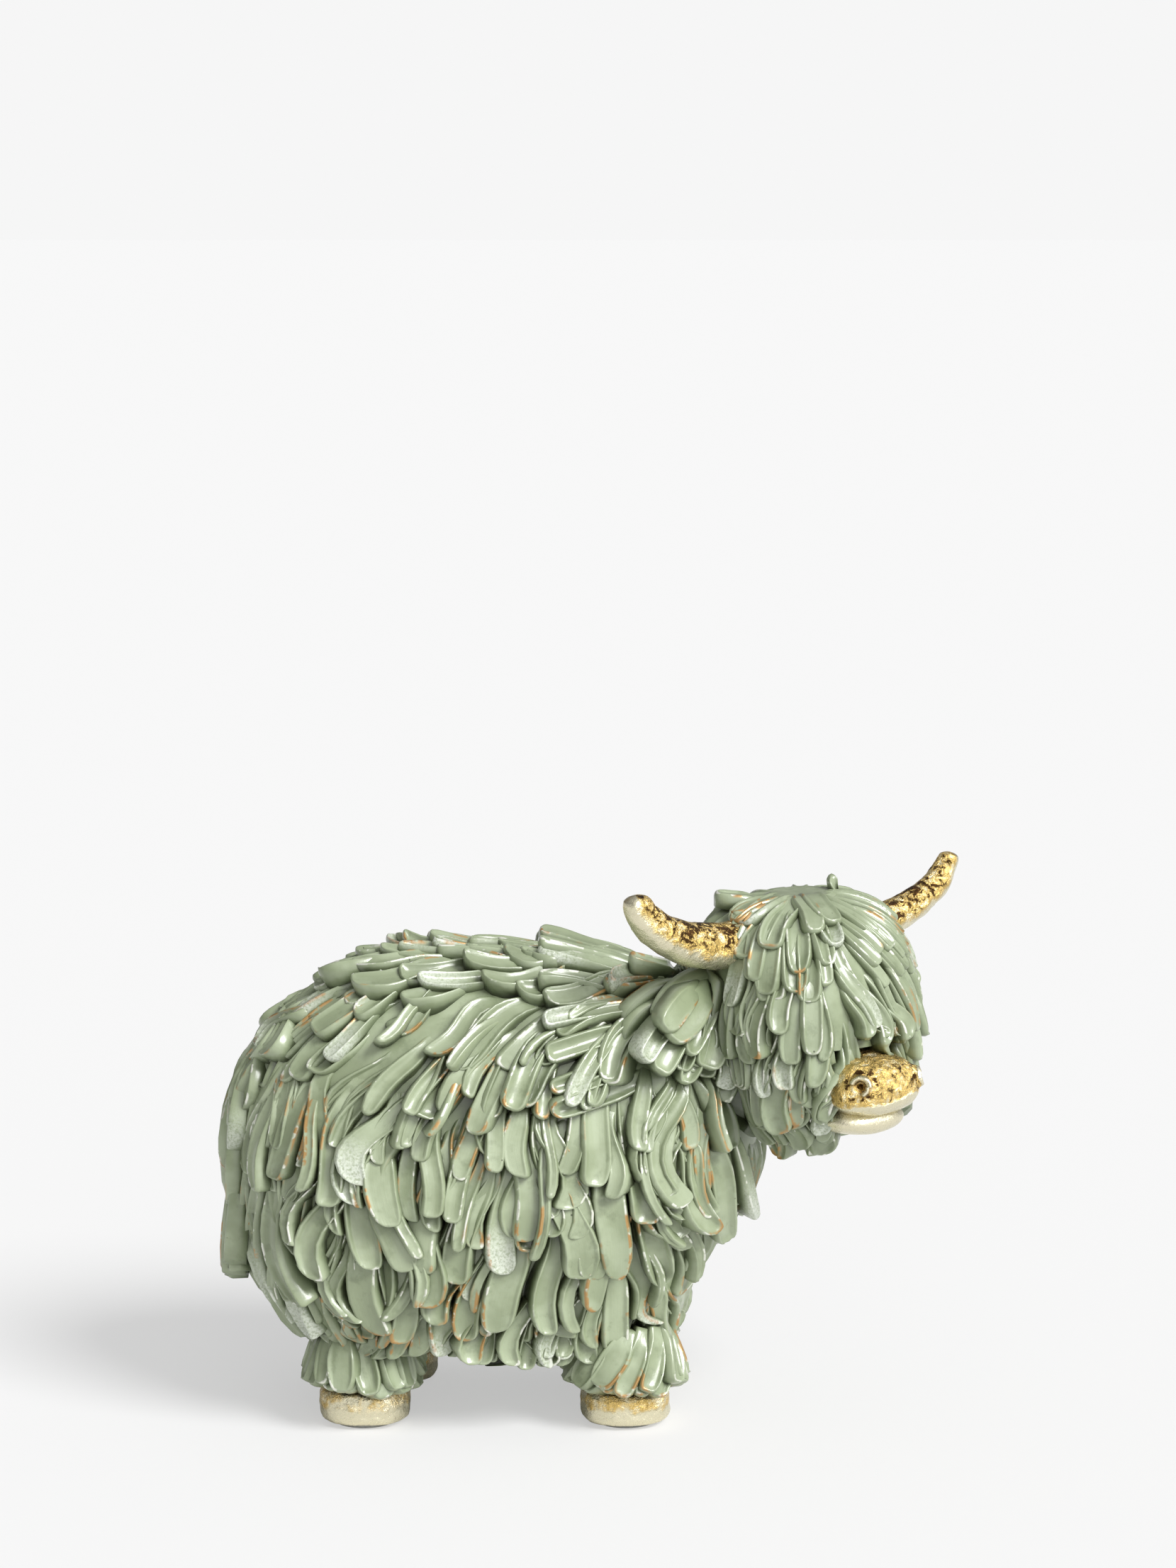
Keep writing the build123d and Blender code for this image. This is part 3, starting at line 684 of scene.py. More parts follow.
# Place above the ground, and how far the hair leans back for each part down
lean_knots = (
    (0.045, 0.02),
    (0.062, 0.04),
    (0.080, 0.10),
    (0.098, 0.30),
    (0.110, 0.72),
    (0.118, 1.7),
    (0.125, 4.5),
)
forward_lean = 0.50
forward_heights = (0.074, 0.096)
coat_wave = 0.50
coat_wave_size = 0.015
reach_shares = (1.0, 0.85, 0.7, 0.55, 0.42, 0.3)


def coat_flow(point, normal):
    """The way the coat lies: back along the spine, down the flank, forward at the chest."""
    lean = along_knots(point.z, lean_knots)
    ahead_share = between(point.x, parting_x - part_softness, parting_x + part_softness)
    ahead_share *= 1 - between(point.z, *forward_heights)
    across = -lean * (1 - ahead_share) + forward_lean * ahead_share
    wave = coat_wave * noise.noise(point / coat_wave_size)
    return Vector((across + wave, 0, -1)).normalized()


# Where the coat lies close: along the body, from the chest's front or the rump's end, and up
chest_close = ((-0.034, -0.012), (0.074, 0.098))
rump_close = ((0.012, 0.036), (0.054, 0.070))
shoulder_close = ((0.030, 0.062), (0.094, 0.112))


def coat_pressed(point):
    """1 where the coat lies close: low at the chest and rump, and over the rump's shoulder."""
    from_rump = point.x - torso.low.x
    chest = between(point.x - torso.high.x, *chest_close[0]) * (1 - between(point.z, *chest_close[1]))
    rump = (1 - between(from_rump, *rump_close[0])) * (1 - between(point.z, *rump_close[1]))
    shoulder = (1 - between(from_rump, *shoulder_close[0])) * between(point.z, *shoulder_close[1])
    return float(max(chest, rump, shoulder))


def plant(hair, skin, root, flow, length, look, guards=(), lowest=0.0, hang=hang_level):
    """One lock from root, made shorter or left out where a guarded skin is in its way."""
    for share in reach_shares:
        path, normals, free = comb(skin, root, flow, length * share, hang)
        if path[-1][2] < lowest:
            continue
        checked = [Vector(place) for place in path[:: walk_stations // 3]] + [Vector(path[-1])]
        if all(guard.gap(place) > clearance for guard, clearance in guards for place in checked):
            hair.add(path, normals, free, look)
            return


# Name, root height, length, pitch, width and lift of each row of the body's coat
coat_rows = (
    ("coat_hem", 0.039, 0.022, 0.0074, 0.0072, 0.0028),
    ("coat_belly", 0.052, 0.028, 0.0078, 0.0078, 0.0042),
    ("coat_low_flank", 0.067, 0.031, 0.0084, 0.0086, 0.0050),
    ("coat_middle_flank", 0.082, 0.032, 0.0084, 0.0084, 0.0052),
    ("coat_high_flank", 0.098, 0.031, 0.0078, 0.0074, 0.0048),
    ("coat_upper_flank", 0.112, 0.028, 0.0072, 0.0066, 0.0038),
)

# Drop of the roots, and shares of the pitch, width, length and lift, for each layer of a row
coat_layers = (
    (0.000, 1.00, 1.00, 1.00, 1.00),
    (0.007, 1.00, 0.80, 0.95, 0.55),
    (-0.003, 2.60, 0.48, 1.00, 1.20),
)
ring_scatter = 0.2
root_scatter = 0.0042
root_side_scatter = 0.001
length_shares = (0.78, 1.22)

# The rump's locks: where they start, and how much longer high up and shorter low down they are
rump_reach = (0.010, 0.034)
rump_heights = (0.046, 0.064)
rump_stretch = 0.45
rump_cut = -0.45

# Skins that the coat and the neck's locks keep clear of, each with its clearance
coat_guards = [(skull, 0.0006)]
neck_guards = [(skull, 0.0004)]

# How low the tips of the hem may reach
hem_lowest = 0.0175
hem_scatter = 0.0035


def coat_row(name, root_height, length, pitch, width, lift):
    """One tier of the coat: broad locks, shorter ones under them and thin strands between."""
    hair = Hair(f"{name}_hair")
    for number, (drop, pitch_share, width_share, length_share, lift_share) in enumerate(coat_layers):
        centre = side_middle + UP * (root_height - drop)
        start = 0.5 * number + chance.uniform(-ring_scatter, ring_scatter)
        for root in torso.ring(centre, pitch * pitch_share, start):
            root = root + Vector((chance.gauss(0, root_side_scatter), 0, chance.gauss(0, root_scatter)))
            at_rump = 1 - between(root.x - torso.low.x, *rump_reach)
            stretch = rump_cut + (rump_stretch - rump_cut) * between(root.z, *rump_heights)
            reach = length * length_share * chance.uniform(*length_shares) * (1 + stretch * at_rump)
            look = Look(width * width_share, lift=lift * lift_share, pressed=coat_pressed(root))
            look.swirled(root, 1 + at_rump)
            lowest = hem_lowest + chance.uniform(0, hem_scatter)
            plant(hair, torso, root, coat_flow, reach, look, coat_guards, lowest)
    return hair


for row in coat_rows:
    coat_row(*row).piece(green, row[0])

# Back and spine: rows across the top, laid from the rump forward to the neck
back_pitch = 0.0110
back_first_x = torso.low.x + 0.018
back_last_x = torso.high.x - 0.012
back_half_width = 0.031
back_length = 0.030
back_width = 0.0070
back_scatter = 0.0022
back_side_scatter = 0.0014

# Share of the half width, count and lift of the back's and the spine's locks
back_locks = (1.0, 8, 0.0020)
spine_locks = (0.6, 4, 0.0026)


def top_row(hair, x, width_share, count, lift):
    """Locks side by side across the top of the body."""
    for number in range(count):
        aside = 2 * (number + 0.5) / count - 1
        y = back_half_width * width_share * aside + chance.gauss(0, back_side_scatter)
        start = Vector((x + chance.gauss(0, back_scatter), y, torso.high.z + torso.reach))
        place = torso.tree.ray_cast(start, DOWN)[0]
        if place is not None:
            look = Look(back_width, lift=lift, pressed=coat_pressed(place)).swirled(place)
            reach = back_length * chance.uniform(0.8, 1.2)
            plant(hair, torso, place, coat_flow, reach, look, coat_guards)


back = Hair("coat_back_hair")
spine = Hair("coat_spine_hair")
station = back_first_x
while station < back_last_x:
    top_row(back, station, *back_locks)
    top_row(spine, station + back_pitch / 2, *spine_locks)
    station += back_pitch

# Strands that fan out from the neck
neck_middle = Vector((torso.high.x - 0.026, 0, 0.098))
neck_fan_radius = 0.024
neck_fan_length = 0.031
neck_fan_count = 26
neck_setback = 0.004
neck_width = 0.0066
neck_lift = 0.0030


def neck_flow(point, normal):
    """Away from the neck, and back."""
    return (point - neck_middle).normalized() + BACK * 0.7 + DOWN * 0.25


for number in range(neck_fan_count):
    turn = 2 * math.pi * number / neck_fan_count
    away = Vector((0, math.cos(turn), math.sin(turn)))
    root, _ = torso.nearest(neck_middle + away * neck_fan_radius + BACK * neck_setback)
    look = Look(neck_width, lift=neck_lift)
    plant(back, torso, root, neck_flow, neck_fan_length, look, neck_guards)

# Throat and shoulders: root height and length of each row of long locks from under the head
throat_rows = ((0.100, 0.030), (0.090, 0.028), (0.080, 0.026))
throat_pitch = 0.0075
throat_scatter = 0.002
throat_width = 0.0070
throat_lift = 0.0028
throat_pressed = 0.75
throat_slant = 0.10
throat_first_x = torso.high.x - 0.040


def throat_flow(point, normal):
    """Down, and a little away from the throat."""
    return Vector((throat_slant, 0, -1))


for root_height, length in throat_rows:
    for root in torso.ring(side_middle + UP * root_height, throat_pitch, chance.uniform(0, 1)):
        if root.x > throat_first_x:
            root = root + UP * chance.gauss(0, throat_scatter)
            look = Look(throat_width, lift=throat_lift, pressed=throat_pressed)
            reach = length * chance.uniform(0.85, 1.15)
            plant(back, torso, root, throat_flow, reach, look, neck_guards)

back.piece(shade_darkened_green, "coat_back")
spine.piece(shade_darkened_green, "coat_spine")


# Tail

# Length, lift, bulge and shift aside of each tier of strands, and the drop and setback of its roots
tail_tiers = (
    (0.072, 0.0038, 0.0016, 0.000, 0.007, 0.020),
    (0.056, 0.0044, 0.0032, 0.002, 0.005, 0.020),
    (0.043, 0.0044, 0.0034, -0.001, 0.002, 0.012),
    (0.036, 0.0036, 0.0022, 0.001, -0.002, 0.000),
    (0.028, 0.0028, 0.0010, -0.002, -0.004, -0.012),
)
tail_count = 7
tail_bulge_power = 0.6
tail_thickness = 0.0036
tail_sway = 0.0038
tail_width = 0.0072
tail_spread = 0.0125
tail_flick = 0.0012
tail_flick_from = 0.06
tail_slant = 0.35
tail_hang = 0.02
tail_root_share = 0.3

# How much lower and shorter the tail's outermost strands are
tail_side_drop = 0.004
tail_side_cut = 0.008


def tail_flow(point, normal):
    """Down, and back a little."""
    return Vector((-tail_slant, 0, -1))


tail = Hair("tail_hair")
for length, lift, bulge, shift, drop, setback in tail_tiers:
    for number in range(tail_count):
        aside = 2 * number / (tail_count - 1) - 1
        y = tail_spread * aside + shift
        start = Vector((torso.low.x - setback, y, torso.high.z - drop - tail_side_drop * abs(aside)))
        root, _ = torso.nearest(start)
        look = Look(tail_width, thickness=tail_thickness, lift=lift)
        look.sway = tail_sway * (-1) ** number
        look.bulge = bulge
        look.bulge_power = tail_bulge_power
        look.curl = tail_flick if length > tail_flick_from else 0.0
        look.root_share = tail_root_share
        reach = (length - tail_side_cut * abs(aside)) * chance.uniform(0.92, 1.08)
        plant(tail, torso, root, tail_flow, reach, look, hang=tail_hang)
tail.piece(green, "tail_strands", "tail_root")


# Hair of the head

crown = head_axis + UP * skull.high.z
crown_middle_reach = 0.001
sweep_height = (crown.z - 0.036, crown.z - 0.014)
sweep_strength = 1.1

# How far ahead of the crown the sweep sets in, for the way of the strands and for their size
sweep_reach = (0.002, 0.014)
fine_reach = (0.000, 0.012)


def swept(point, reach):
    """1 at the upper right of the face, where the strands are fine and sweep aside."""
    return float(between(point.z, *sweep_height) * between(point.x - crown.x, *reach))


def hair_flow(point, normal):
    """Down and out from the crown, swept to the far side at the upper right of the face."""
    away = point - crown
    away.z = 0
    out = away.normalized() * 0.5 if away.length > crown_middle_reach else face * 0.5
    return out + DOWN + AHEAD * swept(point, sweep_reach) * sweep_strength


# Skins that the head's hair keeps clear of, each with its clearance
near_horns = [(Skin("horn_left"), 0.0008), (Skin("horn_right"), 0.0008)]
hair_guards = near_horns + [(snout, 0.0010), (torso, 0.0003)]

# Name, root height from the crown, length, pitch, width and lift of each row of the head's hair
hair_rows = (
    ("hair_beard", -0.0490, 0.015, 0.0060, 0.0066, 0.0028),
    ("hair_jaw", -0.0410, 0.018, 0.0062, 0.0068, 0.0032),
    ("hair_cheeks", -0.0310, 0.021, 0.0064, 0.0070, 0.0030),
    ("hair_brow", -0.0205, 0.023, 0.0064, 0.0068, 0.0030),
    ("hair_forelock", -0.0105, 0.025, 0.0058, 0.0066, 0.0024),
)
fine_share = 0.62
hair_thickness = 0.0022
hair_scatter = 0.0018
hair_step = 0.004
chin_lowest = 0.0865
chin_side = 0.006


def hair_look(root, width, lift):
    """A strand of the head, finer where the hair sweeps aside."""
    fine = swept(root, fine_reach)
    width = width * (1 - (1 - fine_share) * fine)
    return Look(width, thickness=hair_thickness, lift=lift, wild=0.8 - 0.4 * fine)


def hair_row(name, root_height, length, pitch, width, lift):
    """One tier of the head's hair, in two layers."""
    hair = Hair(f"{name}_hair")
    for layer in (0, 1):
        centre = crown + UP * (root_height - hair_step * layer)
        start = 0.5 * layer + chance.uniform(-ring_scatter, ring_scatter)
        for root in skull.ring(centre, pitch, start):
            root = root + UP * chance.gauss(0, hair_scatter)
            reach = length * chance.uniform(0.80, 1.20)
            look = hair_look(root, width * (0.85 if layer else 1.0), lift * (0.6 if layer else 1.0))
            lowest = chin_lowest if root.x > crown.x + chin_side else 0.0
            plant(hair, skull, root, hair_flow, reach, look.swirled(root, 0.6), hair_guards, lowest)
    return hair


for row in hair_rows:
    hair_row(*row).piece(shade_darkened_green, row[0])

# Locks that fall away from the crown on all sides: way out of the roots, count and length
crown_rings = (
    (0.0200, 28, 0.023),
    (0.0150, 26, 0.024),
    (0.0095, 22, 0.026),
    (0.0045, 14, 0.026),
    (0.0010, 8, 0.026),
)
crown_width = 0.0066
crown_lift = 0.0015
crown_look_reach = 0.012
crown_hair = Hair("hair_crown_hair")
for out, count, length in crown_rings:
    for number in range(count):
        turn = 2 * math.pi * (number + chance.uniform(-ring_scatter, ring_scatter)) / count
        away = level_way(turn)
        root, _ = skull.nearest(crown + away * out)
        look = hair_look(root + away * crown_look_reach, crown_width, crown_lift)
        look.curl = 0
        look.bulge = 0
        plant(crown_hair, skull, root, hair_flow, length * chance.uniform(0.85, 1.15), look, near_horns)
crown_hair.piece(shade_darkened_green, "hair_crown")

# Locks that stand off the crown: way round, way out, length, rise and width
tuft_places = (
    (math.radians(186), 0.010, 0.0135, -0.0016, 0.0060),
    (math.radians(20), 0.0075, 0.0030, 0.0016, 0.0032),
)
tuft_thickness = 0.0020
tuft_lift = 0.0005
tufts = Hair("hair_top_hair")
for turn, out, length, rise, width in tuft_places:
    away = level_way(turn)
    root, _ = skull.nearest(crown + away * out)
    share = np.linspace(0, 1, walk_stations)[:, None]
    tuft_path = np.array(root) + np.array(away) * length * share
    tuft_path = tuft_path + np.array(UP) * rise * share * (2 - share) * 0.9
    look = Look(width, thickness=tuft_thickness, lift=tuft_lift, wild=0.4)
    look.tip_share = 2.4
    tufts.add_straight(tuft_path, UP, look)
tufts.piece(shade_darkened_green, "hair_top")


# Ears: fans of broad locks over the cast ear, from the upper ones to those beneath them
# First and last angle below level, count, length, width, way out of the roots and lift of each tier
ear_tiers = (
    (58, 96, 5, 0.0180, 0.0066, (0.020, 0.034), 0.0010),
    (30, 88, 5, 0.0210, 0.0078, (0.019, 0.036), 0.0024),
    (12, 80, 5, 0.0205, 0.0086, (0.018, 0.031), 0.0040),
)
ear_reach_shares = {"right": 1.0, "left": 0.62}
ear_root_drop = 0.0045
ear_tier_drop = 0.0022
ear_thickness = 0.0034
ear_droop = 0.0030
ear_core_depth = 0.0045


def ear_hair(side, hand):
    """The locks of one ear, in tiers over its front and its back."""
    cast = Skin(f"ear_{side}")
    reach_share = ear_reach_shares[side]
    outward = head_right * hand
    setback = (cast.middle - head_axis).dot(face)
    hair = Hair(f"ear_{side}_hair")
    share = np.linspace(0, 1, walk_stations)[:, None]
    for front in (1, -1):
        facing = (face * front + outward * 0.25 + UP * 0.20).normalized()
        for tier, (first, last, count, length, width, (near, far), lift) in enumerate(ear_tiers):
            for number in range(count):
                part = (number + chance.uniform(0.3, 0.7)) / count
                angle = math.radians(last + (first - last) * part + chance.gauss(0, 3))
                course = outward * math.cos(angle) + DOWN * math.sin(angle)
                depth = face * (setback + front * ear_core_depth)
                out = near + (far * reach_share - near * reach_share) * part
                level = cast.high.z - ear_root_drop - ear_tier_drop * (2 - tier)
                root = head_axis + outward * out + depth + UP * level
                reach = length * chance.uniform(0.88, 1.12) * reach_share
                path = np.array(root) + np.array(course) * reach * share
                path = path + np.array(DOWN) * ear_droop * share**2
                look = Look(width, thickness=ear_thickness, lift=lift, wild=0.7)
                hair.add_straight(path, facing, look)
    hair.piece(green, f"ear_locks_{side}")


ear_hair("right", 1)
ear_hair("left", -1)


# Cuffs over the hooves

# Top, bottom, radius at the top and at the bottom, count and width of each tier of a cuff
cuff_tiers = (
    (0.0230, 0.0100, 0.0108, 0.0132, 14, 0.0072),
    (0.0290, 0.0112, 0.0112, 0.0144, 14, 0.0074),
)
cuff_thickness = 0.0038
cuff_lift = 0.0010
cuff_groove = 0.00040
cuff_end_scatter = (-0.0008, 0.0014)
cuff_twists = {"front_right": -0.55, "front_left": 0.35, "hind_right": 0.12, "hind_left": -0.25}


def cuff(place, twist):
    """A skirt of locks that flares over the top of the hoof."""
    leg = Skin(f"leg_{place}")
    hair = Hair(f"ankle_{place}_hair")
    share = np.linspace(0, 1, walk_stations)
    for tier, (top, bottom, top_radius, bottom_radius, count, width) in enumerate(cuff_tiers):
        for number in range(count):
            turn = 2 * math.pi * (number + 0.5 * tier + chance.uniform(-0.15, 0.15)) / count
            angle = turn + (twist + chance.gauss(0, 0.06)) * share
            radius = top_radius + (bottom_radius - top_radius) * share**1.5
            height = top + (bottom + chance.uniform(*cuff_end_scatter) - top) * share
            away = np.stack([np.cos(angle), np.sin(angle), np.full(walk_stations, 0.2)], axis=1)
            across = np.stack([np.cos(angle), np.sin(angle), np.zeros(walk_stations)], axis=1)
            path = np.array([[leg.middle.x, leg.middle.y, 0.0]]) + across * radius[:, None]
            path[:, 2] = height
            look = Look(width, thickness=cuff_thickness, lift=cuff_lift, wild=0.25)
            look.grooves = 2
            look.groove_depth = cuff_groove
            look.tip_share = 1.8
            hair.add(path, away, np.ones(walk_stations), look)
    hair.piece(green, f"ankle_locks_{place}")


for place, twist in cuff_twists.items():
    cuff(place, twist)


# Gilded pieces: horns, muzzle and hooves


# Size and depth of the coarse and of the fine lumps of each kind of gilded piece
horn_lumps = ((0.0045, 0.0004), (0.0014, 0.00014))
nose_lumps = ((0.0060, 0.0006), (0.0016, 0.0002))
lip_lumps = ((0.0050, 0.0004),)
hoof_lumps = ((0.0060, 0.0006), (0.0018, 0.00018))


def crumpled(grid, kinds):
    """A grid of points pushed in and out by soft lumps of each kind."""
    for size, depth in kinds:
        flat = grid.reshape(-1, 3)
        lumps = np.array([noise.noise(Vector(point) / size) for point in flat]).reshape(grid.shape[:2])
        away = grid - grid.mean(axis=1, keepdims=True)
        outward = unit_rows(away.reshape(-1, 3)).reshape(grid.shape)
        grid = grid + outward * (lumps * depth)[:, :, None]
    return grid


def gilded(name, grid, leaf_and_shade, *nodes):
    """A closed skin over rings of points, with how crinkled and how dark its leaf is at each point, which on
    the horns is painted shade.
    """
    faces = ring_faces(*grid.shape[:2])
    piece = smooth_object(name, grid.reshape(-1, 3), faces, {"leaf_and_shade": leaf_and_shade.ravel()}, gilt)
    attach(piece, "root")
    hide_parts(*nodes)
    return piece


# Along a horn: reach out from the middle of the head, rise, radius
horn_stations = (
    (0.0180, 0.0000, 0.0061),
    (0.0270, 0.0001, 0.0061),
    (0.0345, 0.0014, 0.0058),
    (0.0415, 0.0038, 0.0054),
    (0.0474, 0.0070, 0.0049),
    (0.0516, 0.0108, 0.0043),
    (0.0537, 0.0146, 0.0036),
    (0.0541, 0.0168, 0.0029),
)
horn_rings = 64
horn_around = 40
horn_rounding = 0.075

# Share of the reach and of the radius that each horn has
horn_shares = {"right": (1.0, 1.0), "left": (0.955, 0.80)}


def horn(side, hand):
    """A horn that bends up towards its blunt tip, with the most leaf on its upper front, set by the way each
    point faces as painted shade.
    """
    low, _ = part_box(f"horn_{side}")
    outward = head_right * hand
    root_height = low.z + horn_stations[0][2]
    table = np.array(horn_stations)
    place = (1 - (1 - np.linspace(0, 1, horn_rings)) ** 1.8) * (len(table) - 1)
    out, rise, radius = (np.interp(place, range(len(table)), table[:, column]) for column in range(3))
    reach_share, radius_share = horn_shares[side]
    columns = (out * reach_share, rise, radius * radius_share)
    out, rise, radius = (evened(column, 6) for column in columns)
    share = place / place[-1]
    closing = np.clip((share - 1 + horn_rounding) / horn_rounding, 0, 1)
    radius = radius * np.sqrt(np.maximum(1 - closing**2, 0.0004))
    middle = np.array([head_axis + outward * o + UP * (root_height + r) for o, r in zip(out, rise)])
    forward = unit_rows(np.gradient(middle, axis=0))
    aside = np.tile(np.array(face), (horn_rings, 1))
    upward = unit_rows(np.cross(aside, forward)) * (1 if hand > 0 else -1)
    angle = np.linspace(0, 2 * math.pi, horn_around, endpoint=False)
    ring = np.cos(angle)[None, :, None] * aside[:, None, :]
    ring = ring + np.sin(angle)[None, :, None] * upward[:, None, :]
    grid = middle[:, None, :] + ring * radius[:, None, None]
    # Painted light and shade: the mark follows the way each point faces, making the underside ochre, the back
    # champagne, and the front and top gold with dark flecks
    leaf_and_shade = 0.16 + np.einsum("rac,rc->ra", ring, aside * 0.35 - upward * 0.70)
    gilded(f"horn_{side}_leaf", crumpled(grid, horn_lumps), leaf_and_shade, f"horn_{side}")


horn("right", 1)
horn("left", -1)


def pillow(middle, half_size, squareness, depth_squareness, rings, taper=0.0):
    """A rounded block along the face, in rings from root to front, and its sides and heights."""
    half_side, half_height, half_reach = half_size
    turn = np.linspace(-math.pi / 2 + 0.02, math.pi / 2 - 0.02, rings)
    angle = np.linspace(0, 2 * math.pi, muzzle_around, endpoint=False)
    ahead = bent(np.sin(turn), depth_squareness)[:, None] * np.ones(muzzle_around)[None, :]
    size = bent(np.cos(turn), depth_squareness)[:, None]
    side = size * bent(np.cos(angle), squareness)[None, :]
    height = size * bent(np.sin(angle), squareness)[None, :]
    side = side * (1 - taper * height)
    grid = (
        np.array(middle)
        + ahead[:, :, None] * half_reach * np.array(face)
        + side[:, :, None] * half_side * np.array(head_right)
        + height[:, :, None] * half_height * np.array(UP)
    )
    return grid, side, height


# Half width, share of the muzzle's height and half depth, of the nose and of the lower lip
nose_half = (0.0128, 0.360, 0.0127)
lip_half = (0.0118, 0.200, 0.0104)
nose_taper = 0.12
lip_squareness = 2.0
lip_depth_squareness = 2.3
lip_setback = 0.0018
lip_aside = 0.0008
lip_drop_share = 0.7
muzzle_reach = 0.0280
muzzle_drop = 0.0016
muzzle_rings = 160
muzzle_around = 240
muzzle_squareness = 2.5
muzzle_depth_squareness = 2.7
nostril_side = 0.0098
nostril_height = 0.0018
nostril_size = 0.0011
nostril_depth = 0.0024
swirl_radius = 0.0021
swirl_width = 0.0008
swirl_height = 0.0016
swirl_open = 0.80


def nostril(grid, middle, hand):
    """A pit with a raised swirl round it, open on its lower inner side."""
    spot = np.array(middle + head_right * hand * nostril_side + UP * nostril_height)
    flat = grid.reshape(-1, 3)
    outward = unit_rows(flat - np.array(middle))
    from_spot = flat - spot
    in_front = from_spot @ np.array(face) > 0
    sideways = np.linalg.norm(from_spot - (from_spot @ np.array(face))[:, None] * np.array(face), axis=1)
    centre = flat[np.argmin(np.where(in_front, sideways, 1.0))]
    away = flat - centre
    distance = np.linalg.norm(away, axis=1)
    turn = np.arctan2(away @ np.array(UP), away @ np.array(head_right) * hand)
    pit = np.exp(-((distance / nostril_size) ** 2)) * nostril_depth
    track = swirl_radius * (1 + 0.18 * turn / math.pi)
    ridge = np.exp(-(((distance - track) / swirl_width) ** 2)) * swirl_height
    closed = between(-np.cos(turn + math.radians(35)), -swirl_open, -swirl_open + 0.5)
    pushed = grid + (outward * (ridge * closed - pit)[:, None]).reshape(grid.shape)
    moat = np.exp(-(((distance - track - 2 * swirl_width) / swirl_width) ** 2))
    patina = 1.3 * pit / nostril_depth + 0.6 * moat - 0.9 * ridge * closed / swirl_height
    return pushed, patina.reshape(grid.shape[:2])


def muzzle():
    """The nose with its two swirled nostrils over the lower lip."""
    low, high = snout.low.z, snout.high.z
    upper_half, lower_half = ((wide, (high - low) * tall, deep) for wide, tall, deep in (nose_half, lip_half))
    root = head_axis + face * muzzle_reach
    upper_middle = root + UP * (high - upper_half[1] - muzzle_drop)
    lower_middle = root - face * lip_setback + head_right * lip_aside
    lower_middle = lower_middle + UP * (low + lower_half[1] - muzzle_drop * lip_drop_share)
    squareness = (muzzle_squareness, muzzle_depth_squareness)
    grid, side, rise = pillow(upper_middle, upper_half, *squareness, muzzle_rings, nose_taper)
    patina = 0.0
    for hand in (1, -1):
        grid, around_nostril = nostril(grid, upper_middle, hand)
        patina = patina + around_nostril
    over_border = rise + 0.34 + 0.31 * side
    leaf_and_shade = between(over_border, -0.12, 0.16) * 0.78 - between(side, 0.2, 0.9) * 0.22 - 0.24 + patina
    gilded("muzzle_leaf", crumpled(grid, nose_lumps), leaf_and_shade, "muzzle")
    squareness = (lip_squareness, lip_depth_squareness)
    grid, _, rise = pillow(lower_middle, lower_half, *squareness, muzzle_rings // 2)
    grid = crumpled(grid, lip_lumps)
    gilded("lower_lip_leaf", grid, between(rise, 0.3, 1.0) * 0.3 - 0.15, "muzzle")


muzzle()

# Levels up a hoof, and its size at each
hoof_levels = (0.0, 0.06, 0.16, 0.5, 0.75, 0.9, 1.0)
hoof_sizes = (0.93, 0.985, 1.0, 1.0, 0.98, 0.90, 0.60)
hoof_rings = 36
hoof_around = 90
hoof_squareness = 2.4
hoof_width_share = 1.04


def hoof(place):
    """A squarish hoof from the pad up into the leg, with more leaf towards its top."""
    low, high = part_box(f"hoof_{place}")
    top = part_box(f"leg_{place}")[0].z
    half = ((high - low) / 2).xy
    middle = ((high + low) / 2).xy
    level = np.linspace(0, 1, hoof_rings)
    size = evened(np.interp(level, hoof_levels, hoof_sizes), 3) * hoof_width_share
    angle = np.linspace(0, 2 * math.pi, hoof_around, endpoint=False)
    grid = np.zeros((hoof_rings, hoof_around, 3))
    grid[:, :, 0] = middle.x + half.x * size[:, None] * bent(np.cos(angle), hoof_squareness)[None, :]
    grid[:, :, 1] = middle.y + half.y * size[:, None] * bent(np.sin(angle), hoof_squareness)[None, :]
    grid[:, :, 2] = (low.z + (top - low.z) * level)[:, None]
    grid = crumpled(grid, hoof_lumps)
    grid[0, :, 2] = low.z
    leaf_and_shade = (between(level, 0.20, 0.50) * 0.46 - 0.20)[:, None] * np.ones(hoof_around)[None, :]
    gilded(f"hoof_{place}_leaf", grid, leaf_and_shade, f"hoof_{place}")


for place in ("front_right", "front_left", "hind_right", "hind_left"):
    hoof(place)


# Studio


white = (1, 1, 1, 1)
floor_size = 30.0
backdrop_level = 0.922
ambient_level = 0.41
floor_albedo = 0.76
floor_seen_share = 0.49
floor_seen_boost = 1.03
mirror_low = 0.20
mirror_high = 1.10
mirror_spread = 0.9
key_direction = Vector((0.68, -0.54, 0.80)).normalized()
key_angle = 26.0
fill_direction = Vector((0.30, -0.90, 0.35)).normalized()
fill_power = 0.55
fill_angle = 60.0


def studio_floor(material):
    bpy.ops.mesh.primitive_plane_add(size=floor_size)
    floor = bpy.context.object
    floor.name = "studio_floor"
    floor.data.materials.append(material)


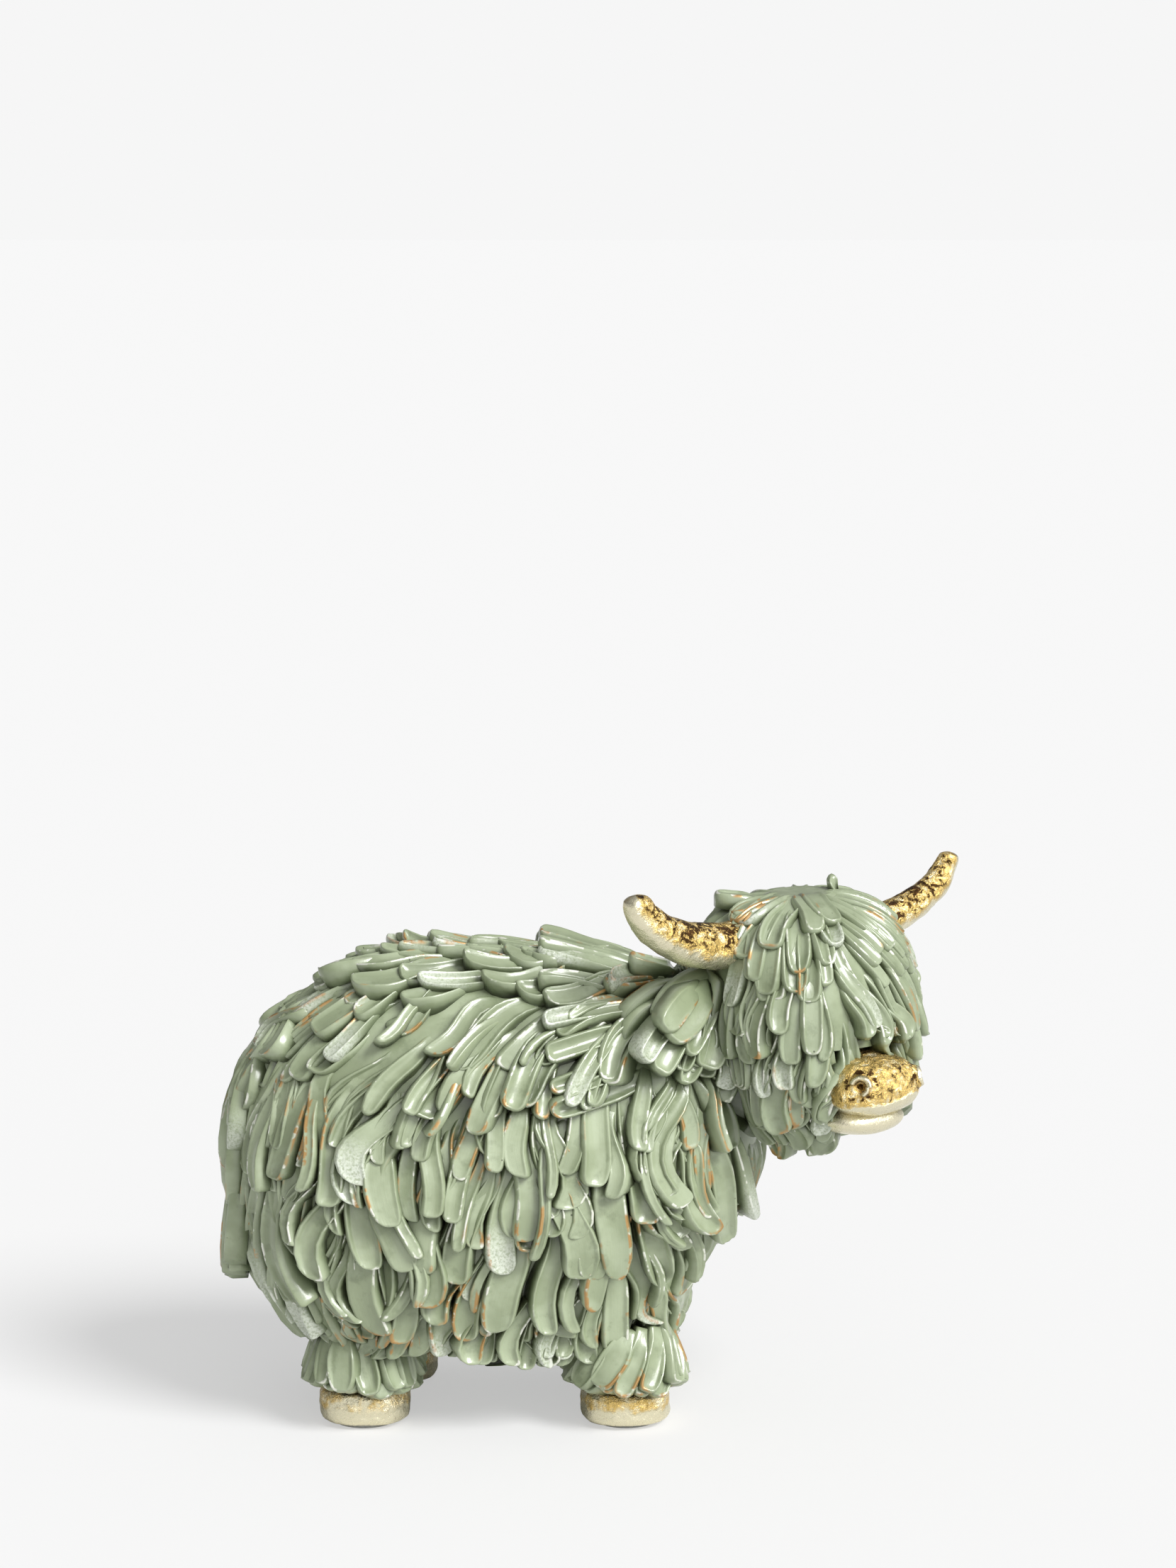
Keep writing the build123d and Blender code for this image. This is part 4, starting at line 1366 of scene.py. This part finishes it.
def floor_paper():
    """White paper that the camera sees as the backdrop's own white, with a soft shadow."""
    material = bpy.data.materials.new("floor_paper")
    material.use_nodes = True
    paper = Nodes(material.node_tree)
    paper.tree.nodes.clear()
    shaded = floor_albedo * floor_seen_share * floor_seen_boost
    plain = paper.joined("ShaderNodeBsdfDiffuse", (floor_albedo, floor_albedo, floor_albedo, 1))
    dimmed = paper.joined("ShaderNodeBsdfDiffuse", (shaded, shaded, shaded, 1))
    glow = paper.joined("ShaderNodeEmission", white, backdrop_level * (1 - floor_seen_share))
    seen = paper.joined("ShaderNodeAddShader", dimmed, glow)
    from_camera = paper.node("ShaderNodeLightPath").outputs["Is Camera Ray"]
    mixed = paper.joined("ShaderNodeMixShader", from_camera, plain, seen)
    paper.fed("ShaderNodeOutputMaterial", {"Surface": mixed})
    return material


def sun(name, direction, power, angle):
    """A far lamp whose light comes from direction."""
    data = bpy.data.lights.new(name, "SUN")
    data.energy = power
    data.angle = math.radians(angle)
    added(name, data).rotation_euler = direction.to_track_quat("Z", "Y").to_euler()


def white_world():
    """White air: one level for its light, one for the camera, and one for what gloss mirrors."""
    world = bpy.data.worlds.new("studio_air")
    bpy.context.scene.world = world
    world.use_nodes = True
    air = Nodes(world.node_tree)
    air.tree.nodes.clear()
    light = air.joined("ShaderNodeBackground", white, ambient_level)
    seen = air.joined("ShaderNodeBackground", white, backdrop_level)
    way = air.node("ShaderNodeTexCoord").outputs["Generated"]
    toward_key = air.node("ShaderNodeVectorMath", operation="DOT_PRODUCT")
    air.feed(toward_key.inputs[0], way)
    air.feed(toward_key.inputs[1], key_direction)
    shine = air.rise(toward_key.outputs["Value"], 0.0, mirror_spread, mirror_low, mirror_high)
    mirrored = air.joined("ShaderNodeBackground", white, shine)
    ray = air.node("ShaderNodeLightPath").outputs
    shone = air.joined("ShaderNodeMixShader", ray["Is Glossy Ray"], light, mirrored)
    straight = air.sum("MAXIMUM", ray["Is Camera Ray"], ray["Is Transmission Ray"])
    mixed = air.joined("ShaderNodeMixShader", straight, shone, seen)
    air.fed("ShaderNodeOutputWorld", {"Surface": mixed})


key_share = backdrop_level / floor_albedo - ambient_level - fill_power * fill_direction.z / math.pi
key_power = key_share * math.pi / key_direction.z
sun("key", key_direction, key_power, key_angle)
sun("fill", fill_direction, fill_power, fill_angle)
white_world()
studio_floor(floor_paper())

# Camera: long lens, a little above, looking at the cow's right side
photo_width = 1659
photo_height = 2212
photo_scale = 5221.0
camera_elevation = math.radians(15.0)
camera_distance = 1.0
sensor_width = 0.036
aim_reach = 0.0935
aim_height = 0.070
aim = Vector((torso.low.x + aim_reach, torso.middle.y, aim_height))
aim_pixel = (845.6, 1623.0)

camera_data = bpy.data.cameras.new("camera")
camera_data.sensor_fit = "HORIZONTAL"
camera_data.sensor_width = sensor_width * 1000
camera_data.lens = photo_scale * camera_distance * sensor_width / photo_width * 1000
camera_data.shift_x = -(aim_pixel[0] - photo_width / 2) / photo_width
camera_data.shift_y = (aim_pixel[1] - photo_height / 2) / photo_width
camera = added("camera", camera_data)
toward = Vector((0, -math.cos(camera_elevation), math.sin(camera_elevation)))
camera.location = aim + toward * camera_distance
camera.rotation_euler = toward.to_track_quat("Z", "Y").to_euler()
bpy.context.scene.camera = camera
bpy.context.scene.view_settings.view_transform = "Standard"
